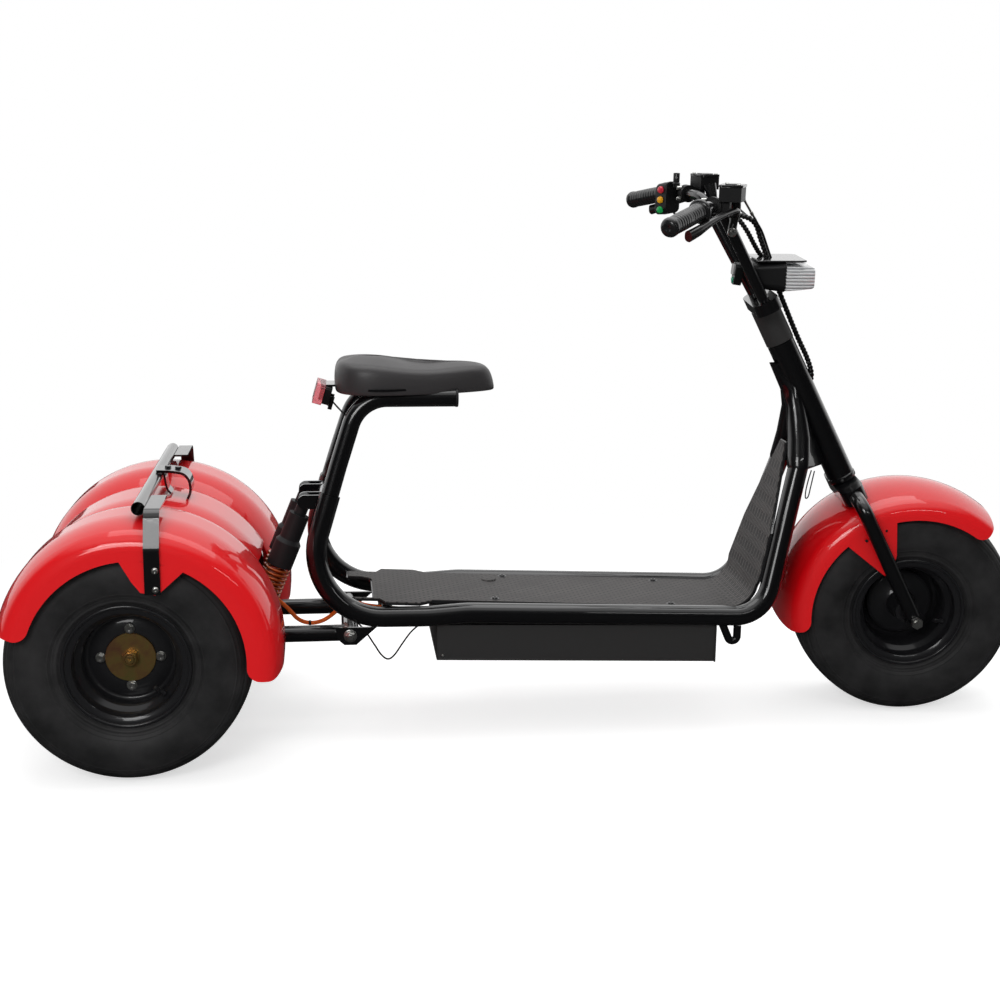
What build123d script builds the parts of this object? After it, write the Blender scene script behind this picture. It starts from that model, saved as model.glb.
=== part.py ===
from build123d import *
import os
from math import cos, radians, sin, sqrt

# Electric three-wheel scooter.  Millimetres, +X forward, +Y to the rider's left, +Z up.
# The origin is on the ground, in the vehicle's middle plane, half way along its length.

os.makedirs("parts", exist_ok=True)

# ---------------------------------------------------------------- driving dimensions
wheelbase = 1586.0
half_track = 226.0            # middle plane to the middle of a rear tyre
tyre_r = 228.5
drawn_tyre_r = 228.5          # the heights below are for tyres of this radius; others lift the frame
tyre_width = 210.0
tyre_wall = 9.0
tyre_crown_drop = 8.0         # how much lower the tread is at its edge than at its middle
tread_half = 78.0
rim_flange_r = 118.0
rim_bead_r = 102.0
rim_well_r = 88.0
rim_half = 94.0               # middle of the rim to the outside of a flange
rim_wall = 4.0
rim_disc_offset = 30.0        # rear rim's disc, outboard of the rim's middle
rim_disc_t = 6.0
hub_face_r = 46.5
wheel_bolt_pcd = 110.0
wheel_bolt_r = 6.0
axle_shaft_r = 15.0
front_axle_r = 7.5
running_fit = 0.05            # radial clearance of a shaft in its bore
seat_gap = 0.3                # clearance between pieces that rest on each other

rake = 27.6                   # steering axis, degrees from the vertical
steer_at_rest = -7.2          # handlebar parked slightly to the right
head_bottom = 300.0           # distances along the steering axis, from the front axle
head_top = 627.0
head_r = 28.0
steerer_r = 15.0
bearing_gap = 1.0

tube_r = 20.5                 # main frame tubes
rail_r = 17.5                 # seat rails
frame_half = 126.0            # middle plane to a side tube along the deck
rail_half = 68.0              # middle plane to a seat rail
socket_half = 60.0            # middle plane to the upper end of a side tube

fender_wall = 3.0
fender_clearance = 34.5       # tyre to the crown of a rear hump
rear_fender_r = tyre_r + fender_clearance
rear_fender_mid_r = rear_fender_r - 14.0
rear_fender_valley_r = rear_fender_r - 29.0
rear_fender_dx = 20.0         # fender's centre, ahead of and above the rear axle
rear_fender_dz = 8.5
fender_side_gap = 18.0        # tyre's side to the outside of its fender
rear_fender_half = half_track + tyre_width / 2 + fender_side_gap
front_fender_r = tyre_r + 37.5
front_fender_half = 117.0

rear_bar_r = 12.5
rear_bar_half = 295.0

# ---------------------------------------------------------------- places that follow
rear_reach = rear_fender_r - rear_fender_dx
rear_axle_x = -(wheelbase + tyre_r - rear_reach) / 2
front_axle_x = rear_axle_x + wheelbase
steer_plane = Plane(
    origin=(front_axle_x, 0, tyre_r),
    x_dir=(cos(radians(rake)), 0, sin(radians(rake))),
    z_dir=(-sin(radians(rake)), 0, cos(radians(rake))),
)
steer_axis = Axis(steer_plane.origin, steer_plane.z_dir)
wheel_half = tyre_width / 2


def rear(x, y, z):
    """A point given by its distance ahead of the rear axle, its side and its height on the drawn tyres."""
    return Vector(rear_axle_x + x, y, z + tyre_r - drawn_tyre_r)


def fork_point(ahead, side, up):
    """A point given along the steering axis from the front axle, and square to it."""
    return steer_plane.from_local_coords(Vector(ahead, side, up))


def beside(point, half):
    """The same point moved out to one side."""
    return Vector(point.X, half, point.Z)


def park(part):
    """Turns a steered piece about the steering axis, to the angle the scooter is parked at."""
    return part.rotate(steer_axis, steer_at_rest)


def cross_plane(x, y, z=tyre_r):
    """A plane across the vehicle: its x is the width and its y the radius of a wheel."""
    return Plane(origin=(x, y, z), x_dir=(0, 1, 0), z_dir=(1, 0, 0))


def side_plane(y):
    """A plane along the vehicle at one side, seen from the right, with z pointing right."""
    return Plane(origin=(0, y, 0), x_dir=(1, 0, 0), z_dir=(0, -1, 0))


def tube_along(points, radii, radius, bore=0.0):
    """A round tube along straight runs joined by tangent arcs."""
    with BuildPart() as tube:
        with BuildLine() as path:
            FilletPolyline(*points, radius=radii)
        with BuildSketch(Plane(origin=path.line @ 0, z_dir=path.line % 0)):
            Circle(radius)
            if bore:
                Circle(bore, mode=Mode.SUBTRACT)
        sweep()
    return tube.part


def rod(start, end, radius, bore=0.0):
    """A straight round bar or tube from one point to another."""
    run = end - start
    with BuildPart() as bar:
        with BuildSketch(Plane(origin=start, z_dir=run)):
            Circle(radius)
            if bore:
                Circle(bore, mode=Mode.SUBTRACT)
        extrude(amount=run.length)
    return bar.part


# ================================================================ wheels
def make_tyre(x, y):
    """A low, wide balloon tyre: crowned tread, round shoulders, bulging walls, open inside."""
    edge_r = tyre_r - tyre_crown_drop
    belly_r = (rim_flange_r + edge_r) / 2
    bead_w = rim_half - rim_wall
    inner_r = tyre_r - tyre_crown_drop - tyre_wall
    inner_w = wheel_half - tyre_wall
    with BuildPart() as tyre:
        with BuildSketch(cross_plane(x, y)):
            with BuildLine():
                ThreePointArc((-tread_half, edge_r), (0, tyre_r), (tread_half, edge_r))
                Spline((tread_half, edge_r), (wheel_half, belly_r), (bead_w, rim_flange_r),
                       tangents=((1, -0.12), (-0.45, -1)))
                Line((bead_w, rim_flange_r), (bead_w - 6, rim_bead_r + seat_gap))
                Line((bead_w - 6, rim_bead_r + seat_gap), (bead_w - 20, rim_bead_r + seat_gap))
                Line((bead_w - 20, rim_bead_r + seat_gap), (inner_w, belly_r - 6))
                Line((inner_w, belly_r - 6), (tread_half - 6, inner_r))
                Line((tread_half - 6, inner_r), (6 - tread_half, inner_r))
                Line((6 - tread_half, inner_r), (-inner_w, belly_r - 6))
                Line((-inner_w, belly_r - 6), (20 - bead_w, rim_bead_r + seat_gap))
                Line((20 - bead_w, rim_bead_r + seat_gap), (6 - bead_w, rim_bead_r + seat_gap))
                Line((6 - bead_w, rim_bead_r + seat_gap), (-bead_w, rim_flange_r))
                Spline((-bead_w, rim_flange_r), (-wheel_half, belly_r), (-tread_half, edge_r),
                       tangents=((-0.45, 1), (1, 0.12)))
            make_face()
        revolve(axis=Axis((x, y, tyre_r), (0, 1, 0)))
    return tyre.part


def rim_profile():
    """Half of a rim's section, from its middle to the lip of one flange, as (width, radius)."""
    seat_w = rim_half - rim_wall - 6
    tyre_side = [(0, rim_well_r), (seat_w - 34, rim_well_r), (seat_w - 22, rim_bead_r),
                 (seat_w, rim_bead_r), (rim_half - rim_wall, rim_flange_r)]
    air_side = [(rim_half, rim_flange_r), (seat_w + rim_wall, rim_bead_r - rim_wall),
                (seat_w - 20, rim_bead_r - rim_wall), (seat_w - 32, rim_well_r - rim_wall),
                (0, rim_well_r - rim_wall)]
    return tyre_side + air_side


def make_rim(x, y, out, disc_offset, bore_r):
    """A pressed steel drop-centre rim with its disc; out is -1 where it faces right."""
    with BuildPart() as rim:
        for side in (-1, 1):
            with BuildSketch(cross_plane(x, y)):
                with BuildLine():
                    Polyline(*[(side * w, r) for w, r in rim_profile()], close=True)
                make_face()
            revolve(axis=Axis((x, y, tyre_r), (0, 1, 0)))
        with BuildSketch(Plane(origin=(x, y + out * disc_offset, tyre_r), z_dir=(0, out, 0))):
            Circle(rim_well_r - rim_wall / 2)
            Circle(bore_r, mode=Mode.SUBTRACT)
            with PolarLocations(wheel_bolt_pcd / 2, 4):
                Circle(wheel_bolt_r, mode=Mode.SUBTRACT)
        extrude(amount=-rim_disc_t)
    return rim.part


with BuildPart() as front_tyre:
    add(make_tyre(front_axle_x, 0))
front_tyre.part = park(front_tyre.part)
front_tyre.part.label = "front_tyre"
export_step(front_tyre.part, "parts/front_tyre.step")

hub_barrel_r = 30.0
with BuildPart() as front_rim:
    add(make_rim(front_axle_x, 0, -1, rim_disc_t / 2, hub_barrel_r))
front_rim.part = park(front_rim.part)
front_rim.part.label = "front_rim"
export_step(front_rim.part, "parts/front_rim.step")

# The front hub turns on the axle, between the two fork ends.
leg_r = 15.0
leg_half = 134.0
fork_end_t = 8.0
hub_half = leg_half - leg_r - 1.0
with BuildPart() as front_hub:
    hub_ends = Plane(origin=(front_axle_x, -hub_half, tyre_r), z_dir=(0, 1, 0))
    with BuildSketch(hub_ends):
        Circle(16)
    extrude(amount=2 * hub_half)
    with BuildSketch(hub_ends.offset(hub_half - 45)):
        Circle(hub_barrel_r - seat_gap)
    extrude(amount=90)
    for side in (-1, 1):
        with BuildSketch(Plane(origin=(front_axle_x, side * (rim_disc_t / 2 + seat_gap), tyre_r),
                               z_dir=(0, side, 0))):
            Circle(70)
        extrude(amount=8)
    with BuildSketch(hub_ends):
        Circle(front_axle_r + running_fit)
    extrude(amount=2 * hub_half, mode=Mode.SUBTRACT)
front_hub.part = park(front_hub.part)
front_hub.part.label = "front_hub"
export_step(front_hub.part, "parts/front_hub.step")

rear_sides = {"right": -1, "left": 1}
housing_half = 150.0          # end of the rear axle housing
for side_name, out in rear_sides.items():
    wheel_y = out * half_track
    with BuildPart() as rear_tyre:
        add(make_tyre(rear_axle_x, wheel_y))
    rear_tyre.part.label = f"rear_{side_name}_tyre"
    export_step(rear_tyre.part, f"parts/rear_{side_name}_tyre.step")

    with BuildPart() as rear_rim:
        add(make_rim(rear_axle_x, wheel_y, out, rim_disc_offset, hub_face_r + seat_gap))
    rear_rim.part.label = f"rear_{side_name}_rim"
    export_step(rear_rim.part, f"parts/rear_{side_name}_rim.step")

    disc_y = wheel_y + out * rim_disc_offset
    flange_y = disc_y - out * (rim_disc_t + seat_gap)
    with BuildPart() as rear_hub:
        with BuildSketch(Plane(origin=(rear_axle_x, disc_y + out * 6, tyre_r), z_dir=(0, -out, 0))):
            Circle(hub_face_r)
        extrude(amount=6 + rim_disc_t + 8)
        with BuildSketch(Plane(origin=(rear_axle_x, flange_y, tyre_r), z_dir=(0, -out, 0))):
            Circle(70)
        extrude(amount=9)
        with BuildSketch(Plane(origin=(rear_axle_x, disc_y + out * 22, tyre_r), z_dir=(0, -out, 0))):
            Circle(axle_shaft_r)
        extrude(amount=abs(disc_y + out * 22) - housing_half + 60)
    rear_hub.part.label = f"rear_{side_name}_hub"
    export_step(rear_hub.part, f"parts/rear_{side_name}_hub.step")

# ================================================================ main frame
run_rear = rear(300, 0, 255)
kink_low = rear(560, 0, 252)
kink_high = rear(640, 0, 257)
run_front = rear(1250, 0, 235)
socket = rear(1329, 0, 533)
sleeve_top = rear(372, 0, 495)
rail_corner = rear(431, 0, 682)
rail_front = rear(623, 0, 682)
sleeve_half = 92.0            # middle plane to the upper rear end of a side tube
rear_bend_r = 130.0
kink_r = 200.0
front_bend_r = 75.0
rail_bend_r = 75.0

for side_name, out in rear_sides.items():
    with BuildPart() as side_tube:
        add(tube_along(
            [beside(socket, out * socket_half), beside(run_front, out * frame_half),
             beside(kink_high, out * frame_half), beside(kink_low, out * frame_half),
             beside(run_rear, out * frame_half), beside(sleeve_top, out * sleeve_half)],
            [front_bend_r, kink_r, kink_r, rear_bend_r], tube_r))
    side_tube.part.label = f"side_tube_{side_name}"
    export_step(side_tube.part, f"parts/side_tube_{side_name}.step")

# The seat rails go on from the side tubes, bend forward and end in a cap under the seat's nose.
with BuildPart() as seat_rails:
    for out in (-1, 1):
        joint = beside(sleeve_top, out * sleeve_half)
        way_up = (joint - beside(run_rear, out * frame_half)).normalized()
        rail_start = joint + way_up * seat_gap
        rail_knee = joint + way_up * 60
        add(tube_along([rail_start, rail_knee, beside(rail_corner, out * rail_half),
                        beside(rail_front, out * rail_half)], [150, rail_bend_r], rail_r))
seat_rails.part.label = "seat_rails"
export_step(seat_rails.part, "parts/seat_rails.step")

# Tubes across the frame, under the deck.
cross_r = 14.0
with BuildPart() as cross_members:
    for x, z in ((480, 252), (820, 246), (1190, 228)):
        reach = frame_half - tube_r - seat_gap
        add(rod(rear(x, -reach, z), rear(x, reach, z), cross_r))
cross_members.part.label = "cross_members"
export_step(cross_members.part, "parts/cross_members.step")

# ---------------------------------------------------------------- neck
# Each side tube's socket widens into a lobe that runs up into the head tube: from the axle, side, height,
# half length and half width of its sections.
lobe_sections = [(1352, 50, 556, 44, 24), (1355, 36, 590, 43, 23), (1346, 18, 640, 33, 21), (1328, 4, 700, 20, 16)]
with BuildPart() as neck:
    with BuildSketch(steer_plane.offset(head_bottom)):
        Circle(head_r)
    extrude(amount=head_top - head_bottom)
    for out in (-1, 1):
        leg_foot = beside(socket, out * socket_half)
        tube_way = (leg_foot - beside(run_front, out * frame_half)).normalized()
        with BuildSketch(Plane(origin=leg_foot + tube_way * seat_gap, x_dir=(1, 0, -0.3), z_dir=tube_way)):
            Circle(23)
        for ahead, side, up, half_length, half_width in lobe_sections:
            with BuildSketch(Plane(origin=rear(ahead, out * side, up), x_dir=(1, 0, 0), z_dir=(0, 0, 1))):
                Ellipse(half_length, half_width)
        loft()
    with BuildSketch(steer_plane.offset(head_bottom - 1)):
        Circle(steerer_r + running_fit)
    extrude(amount=head_top - head_bottom + 2, mode=Mode.SUBTRACT)
neck.part.label = "neck"
export_step(neck.part, "parts/neck.step")

# ---------------------------------------------------------------- deck
deck_t = 4.0
mat_t = 2.0
mat_inset = 3.0
deck_rear = rear(403, 0, 280.6)   # under side of the plate, at its rear edge
deck_fall = 0.0476            # how much the plate falls for each millimetre forward
deck_bend_r = 60.0
deck_lift = tube_r + 0.9      # plate over the side tubes' middles, where it leans on them
deck_between = frame_half - tube_r - 1.0
deck_over = 126.0             # half width where the plate lies over the tubes, at the rear
over_rear = rear(478, 0, 0)
over_front = rear(546, 0, 0)
notch_front = rear(453, 0, 0)
notch_left = 56.0
notch_right = 92.0
notch_r = 24.0
deck_tip = rear(1308, 0, 577)
tip_half = 18.0
lean_z = rear(0, 0, 293).Z    # the leaning part starts at this height
lean_edge = [(112, 306), (93, 400), (45, 515), (tip_half, 577)]   # its half width at four heights


def parallel(points, gap):
    """The corners of a broken line in the middle plane, moved up by a gap square to it."""
    ways = [(b - a).normalized() for a, b in zip(points, points[1:])]
    ways = [ways[0]] + ways + [ways[-1]]
    moved = []
    for point, before, after in zip(points, ways, ways[1:]):
        square = Vector(-before.Z - after.Z, 0, before.X + after.X)
        reach = gap / (0.5 * square.length)
        moved.append(point + square.normalized() * reach)
    return moved


def deck_layer(lift, thickness, inset):
    """A plate that lies between the side tubes, bends up on to them and tapers to the neck."""
    way_up = (socket - run_front).normalized()
    lean_foot = parallel([run_front, socket], deck_lift)[0]
    flat_way = Vector(1, 0, -deck_fall)
    along = ((lean_foot.Z - deck_rear.Z) * way_up.X - (lean_foot.X - deck_rear.X) * way_up.Z) / (
        flat_way.Z * way_up.X - flat_way.X * way_up.Z)
    corner = deck_rear + flat_way * along
    tip = corner + way_up * ((deck_tip.Z - inset - corner.Z) / way_up.Z)
    band = [(p.X, p.Z) for p in parallel([deck_rear + flat_way * inset, corner, tip], lift)]
    with BuildPart() as layer:
        with BuildSketch(side_plane(0)):
            with BuildLine():
                FilletPolyline(*band, radius=deck_bend_r - lift)
                offset(amount=thickness, side=Side.LEFT)
            make_face()
        extrude(amount=deck_over - inset, both=True)
        low = deck_tip.Z - 400
        side = deck_between - inset / 2
        wide = deck_over - inset
        with BuildSketch(Plane.XY.offset(low)):
            for out in (-1, 1):
                with BuildLine():
                    Polyline((deck_rear.X - 2, out * (side - 4)), (over_rear.X - 12, out * (side - 4)),
                             (over_rear.X, out * wide), (over_front.X, out * wide), (over_front.X + 27, out * side),
                             (corner.X + 60, out * side), (corner.X + 60, out * 200), (deck_rear.X - 2, out * 200),
                             close=True)
                make_face()
        extrude(amount=lean_z - low, mode=Mode.SUBTRACT)
        with BuildSketch(Plane.XY.offset(low)) as notch:
            with Locations((deck_rear.X - 60, (notch_left - notch_right) / 2)):
                Rectangle(notch_front.X - deck_rear.X + 60 + inset, notch_left + notch_right + 2 * inset,
                          align=(Align.MIN, Align.CENTER))
            fillet(notch.vertices().sort_by(Axis.Y)[2:], radius=notch_r + inset)
        extrude(amount=lean_z - low, mode=Mode.SUBTRACT)
        with BuildSketch(Plane(origin=(corner.X - 60, 0, 0), x_dir=(0, 1, 0), z_dir=(1, 0, 0))):
            edge = [(side, lean_z)] + [(half - inset, up + tyre_r - drawn_tyre_r) for half, up in lean_edge]
            for out in (-1, 1):
                with BuildLine():
                    Polyline(*[(out * half, up) for half, up in edge], (out * tip_half, deck_tip.Z + 50),
                             (out * 200, deck_tip.Z + 50), (out * 200, lean_z), close=True)
                make_face()
        extrude(amount=260, mode=Mode.SUBTRACT)
    return layer.part


with BuildPart() as deck:
    add(deck_layer(0, deck_t, 0))
deck.part.label = "deck"
export_step(deck.part, "parts/deck.step")

with BuildPart() as deck_mat:
    add(deck_layer(deck_t + seat_gap, mat_t, mat_inset))
deck_mat.part.label = "deck_mat"
export_step(deck_mat.part, "parts/deck_mat.step")

# ---------------------------------------------------------------- battery box
box_rear_x = 581.0
box_front_x = 1151.0
box_half = 125.0
with BuildPart() as battery_box:
    with BuildSketch(side_plane(0)):
        with BuildLine():
            Polyline((rear_axle_x + box_rear_x, 232.3), (rear_axle_x + box_front_x, 217.7),
                     (rear_axle_x + box_front_x, 141), (rear_axle_x + box_rear_x, 160), close=True)
        make_face()
    extrude(amount=box_half, both=True)
battery_box.part.label = "battery_box"
export_step(battery_box.part, "parts/battery_box.step")

# A guard of bent round bar under each side tube, ahead of the box: one leg upright, one leaning back.
loop_r = 8.0
loop_bend_r = 9.5
loop_foot = rear(1197, 0, 148)
with BuildPart() as front_loop:
    for out in (-1, 1):
        foot = beside(loop_foot, out * frame_half)
        add(tube_along([foot + Vector(-36, 0, 82), foot, foot + Vector(0, 0, 82)], loop_bend_r, loop_r))
        add(rod(beside(kink_high, out * frame_half), beside(run_front, out * frame_half), tube_r + seat_gap),
            mode=Mode.SUBTRACT)
front_loop.part.label = "front_loop"
export_step(front_loop.part, "parts/front_loop.step")

# ---------------------------------------------------------------- pivot brackets and swingarm
pivot = rear(408, 0, 215)
pivot_r = 17.0
plate_t = 6.0
with BuildPart() as pivot_brackets:
    for out in (-1, 1):
        with BuildSketch(side_plane(out * frame_half)):
            with BuildLine():
                Polyline((pivot.X - 24, 208), (pivot.X - 12, 197), (pivot.X + 12, 197), (pivot.X + 24, 208),
                         (pivot.X + 52, 232.4), (pivot.X - 30, 233.4), close=True)
            make_face()
        extrude(amount=plate_t / 2, both=True)
pivot_brackets.part.label = "pivot_brackets"
export_step(pivot_brackets.part, "parts/pivot_brackets.step")

arm_half = 94.0
arm_r = 16.5
arm_z = 212.0
brace_x = 205.0               # tube across the swingarm that carries the shock absorbers
housing_r = 27.0
carrier_r = 36.0
carrier_half = 17.0
hoop_r = 8.0
hoop_half = 38.0
eye_r = 14.0
eye_half = 13.0
eye_bolt_r = 6.0
lug_t = 5.0
shock_half = 54.0
shock_low = rear(226, 0, 240)
shock_top = rear(322, 0, 476)
with BuildPart() as swingarm:
    pivot_reach = frame_half - plate_t / 2 - seat_gap
    add(rod(beside(pivot, -pivot_reach), beside(pivot, pivot_reach), pivot_r))
    for out in (-1, 1):
        add(rod(Vector(pivot.X, out * arm_half, arm_z), rear(31, out * arm_half, arm_z), arm_r))
        with BuildSketch(Plane(origin=rear(0, out * arm_half, tyre_r), z_dir=(0, 1, 0))):
            Circle(carrier_r)
        extrude(amount=carrier_half, both=True)
    add(rod(rear(brace_x, -arm_half, arm_z), rear(brace_x, arm_half, arm_z), arm_r))
    for out in (-1, 1):
        for side in (-1, 1):
            lug_y = out * shock_half + side * (eye_half + seat_gap + lug_t / 2)
            with BuildSketch(side_plane(lug_y)):
                with Locations((rear(brace_x, 0, 0).X, arm_z)):
                    Circle(arm_r - 2)
                with Locations((shock_low.X, shock_low.Z)):
                    Circle(eye_r)
                make_hull()
            extrude(amount=lug_t / 2, both=True)
        add(rod(beside(shock_low, out * shock_half - eye_half - lug_t),
                beside(shock_low, out * shock_half + eye_half + lug_t), eye_bolt_r))
    # A hoop stands on the two carriers and holds the fender by its middle hump.
    hoop_reach = rear_fender_mid_r - fender_wall - seat_gap - hoop_r
    hoop_z = tyre_r + rear_fender_dz + sqrt(hoop_reach ** 2 - rear_fender_dx ** 2)
    for out in (-1, 1):
        add(rod(rear(0, out * (arm_half - 10), tyre_r + carrier_r - 3), rear(0, out * hoop_half, hoop_z), hoop_r))
        with Locations(rear(0, out * hoop_half, hoop_z)):
            Sphere(hoop_r)
    add(rod(rear(0, -hoop_half, hoop_z), rear(0, hoop_half, hoop_z), hoop_r))
    with BuildSketch(Plane(origin=rear(0, 0, tyre_r), z_dir=(0, 1, 0))):
        Circle(housing_r + seat_gap)
    extrude(amount=arm_half + carrier_half + 1, both=True, mode=Mode.SUBTRACT)
swingarm.part.label = "swingarm"
export_step(swingarm.part, "parts/swingarm.step")

# ---------------------------------------------------------------- rear axle with its motor
gear_r = 78.0
gear_half = 45.0
motor_r = 62.0
motor_back = 110.0
with BuildPart() as rear_axle:
    with BuildSketch(Plane(origin=rear(0, 0, tyre_r), z_dir=(0, 1, 0))):
        Circle(housing_r)
    extrude(amount=housing_half, both=True)
    with BuildSketch(Plane(origin=rear(0, 0, tyre_r), z_dir=(0, 1, 0))):
        Circle(gear_r)
    extrude(amount=gear_half, both=True)
    with BuildSketch(Plane(origin=rear(-motor_back, 5, tyre_r + 10), z_dir=(0, 1, 0))):
        Circle(motor_r)
    extrude(amount=75, both=True)
    for out in (-1, 1):
        with BuildSketch(Plane(origin=rear(0, out * (housing_half + 1), tyre_r), z_dir=(0, -out, 0))):
            Circle(axle_shaft_r + running_fit)
        extrude(amount=80, mode=Mode.SUBTRACT)
rear_axle.part.label = "rear_axle"
export_step(rear_axle.part, "parts/rear_axle.step")

# ---------------------------------------------------------------- shock absorbers
spring_r = 25.5
sleeve_r = 26.0
sleeve_top_gap = 30.0
sleeve_l = 111.0
cup_l = 58.0                  # lower, wider part of the sleeve, over the spring
neck_of_sleeve_r = 20.5
wire_r = 2.8
spring_pitch = 9.2
spring_seat = 22.0            # from the lower eye to the spring's seat
shock_run = shock_top - shock_low
shock_dir = shock_run.normalized()
with BuildPart() as shock_sleeves:
    for out in (-1, 1):
        top = beside(shock_top, out * shock_half)
        cup_foot = top - shock_dir * (sleeve_top_gap + sleeve_l)
        add(rod(cup_foot, cup_foot + shock_dir * (cup_l - 8), sleeve_r))
        with BuildSketch(Plane(origin=cup_foot + shock_dir * (cup_l - 8), z_dir=shock_dir)):
            Circle(sleeve_r)
        with BuildSketch(Plane(origin=cup_foot + shock_dir * cup_l, z_dir=shock_dir)):
            Circle(neck_of_sleeve_r)
        loft()
        add(rod(cup_foot + shock_dir * cup_l, top - shock_dir * sleeve_top_gap, neck_of_sleeve_r))
        add(rod(top - shock_dir * sleeve_top_gap, top - shock_dir * (eye_r - 2), 12))
        add(rod(top + Vector(0, -eye_half, 0), top + Vector(0, eye_half, 0), eye_r))
        with BuildSketch(side_plane(0)):
            with Locations((shock_top.X, shock_top.Z)):
                Circle(eye_bolt_r + seat_gap)
        extrude(amount=100, both=True, mode=Mode.SUBTRACT)
shock_sleeves.part.label = "shock_sleeves"
export_step(shock_sleeves.part, "parts/shock_sleeves.step")

# Each spring is a coil of round wire between the foot's plate and the sleeve's cup.
coil_from = spring_seat + seat_gap + wire_r
coil_to = shock_run.length - sleeve_top_gap - sleeve_l - seat_gap - wire_r
with BuildPart() as shock_springs:
    for out in (-1, 1):
        foot = beside(shock_low, out * shock_half) + shock_dir * coil_from
        with BuildLine() as coil:
            Helix(pitch=spring_pitch, height=coil_to - coil_from, radius=spring_r - wire_r, center=foot,
                  direction=shock_dir)
        with BuildSketch(Plane(origin=coil.line @ 0, z_dir=coil.line % 0)):
            Circle(wire_r)
        sweep(path=coil.line)
shock_springs.part.label = "shock_springs"
export_step(shock_springs.part, "parts/shock_springs.step")

with BuildPart() as shock_feet:
    for out in (-1, 1):
        low = beside(shock_low, out * shock_half)
        add(rod(low + shock_dir * (spring_seat - 6), low + shock_dir * spring_seat, spring_r))
        add(rod(low + shock_dir * (eye_r - 2), low + shock_dir * (spring_seat - 4), 12))
        add(rod(low + Vector(0, -eye_half, 0), low + Vector(0, eye_half, 0), eye_r))
    with BuildSketch(side_plane(0)):
        with Locations((shock_low.X, shock_low.Z)):
            Circle(eye_bolt_r + seat_gap)
    extrude(amount=100, both=True, mode=Mode.SUBTRACT)
shock_feet.part.label = "shock_feet"
export_step(shock_feet.part, "parts/shock_feet.step")

# A plate on each side tube reaches back to the shock absorbers' upper bolts; a tube joins the plates.
mount_y = shock_half + eye_half + seat_gap + lug_t / 2
mount_x = 360.0
with BuildPart() as shock_mounts:
    for out in (-1, 1):
        for side_y in (mount_y, shock_half * 2 - mount_y):
            with BuildSketch(side_plane(out * side_y)):
                with Locations((shock_top.X, shock_top.Z)):
                    Circle(eye_r)
                with Locations((rear(mount_x, 0, 0).X, shock_top.Z)):
                    Circle(cross_r)
                make_hull()
            extrude(amount=lug_t / 2, both=True)
        add(rod(beside(shock_top, out * shock_half - eye_half - lug_t),
                beside(shock_top, out * shock_half + eye_half + lug_t), eye_bolt_r))
    tube_near = sleeve_half - tube_r - 2.0
    add(rod(rear(mount_x, -tube_near, shock_top.Z), rear(mount_x, tube_near, shock_top.Z), cross_r))
shock_mounts.part.label = "shock_mounts"
export_step(shock_mounts.part, "parts/shock_mounts.step")

# ---------------------------------------------------------------- rear fender
fender_x = rear_axle_x + rear_fender_dx
fender_z = tyre_r + rear_fender_dz
skirt_r = 141.0               # lowest point of the tab that the strap holds
arch_r = 198.0
valley_half = 118.0           # middle plane to the valley between two humps
shoulder_r = 38.0
shoulder_drop = 24.0
mid_flat_half = 46.0          # level part of the middle hump
crown_flat_half = 30.0        # level part of an outer hump
skirt_flare = 4.0
lobe_r = 26.0
rear_fender_from = -9.0       # degrees above the level, ahead of the axle
rear_fender_to = 166.0
passage_to = 31.0             # the middle hump starts here, above the shock absorbers


def polar(radius, angle):
    """A point of a sketch given by its distance from the centre and its angle."""
    return (radius * cos(radians(angle)), radius * sin(radians(angle)))


def side_outline(centre, inner_r, outer_r, start, end, corner_r, tab, half):
    """The fender as seen from the side, as a block: a curved band with rounded ends and a pointed tab."""
    middle = (start + end) / 2
    seen = Plane(origin=(centre[0], 0, centre[1]), x_dir=(1, 0, 0), z_dir=(0, -1, 0))
    with BuildPart() as block:
        with BuildSketch(seen) as outline:
            with BuildLine():
                ThreePointArc(polar(inner_r, start), polar(inner_r, middle), polar(inner_r, end))
                Line(polar(inner_r, end), polar(outer_r, end))
                ThreePointArc(polar(outer_r, end), polar(outer_r, middle), polar(outer_r, start))
                Line(polar(outer_r, start), polar(inner_r, start))
            make_face()
            fillet(outline.vertices(), radius=corner_r)
            with BuildLine():
                Polyline(*[polar(*corner) for corner in tab], close=True)
            make_face()
        extrude(amount=half, both=True)
    return block.part


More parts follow.
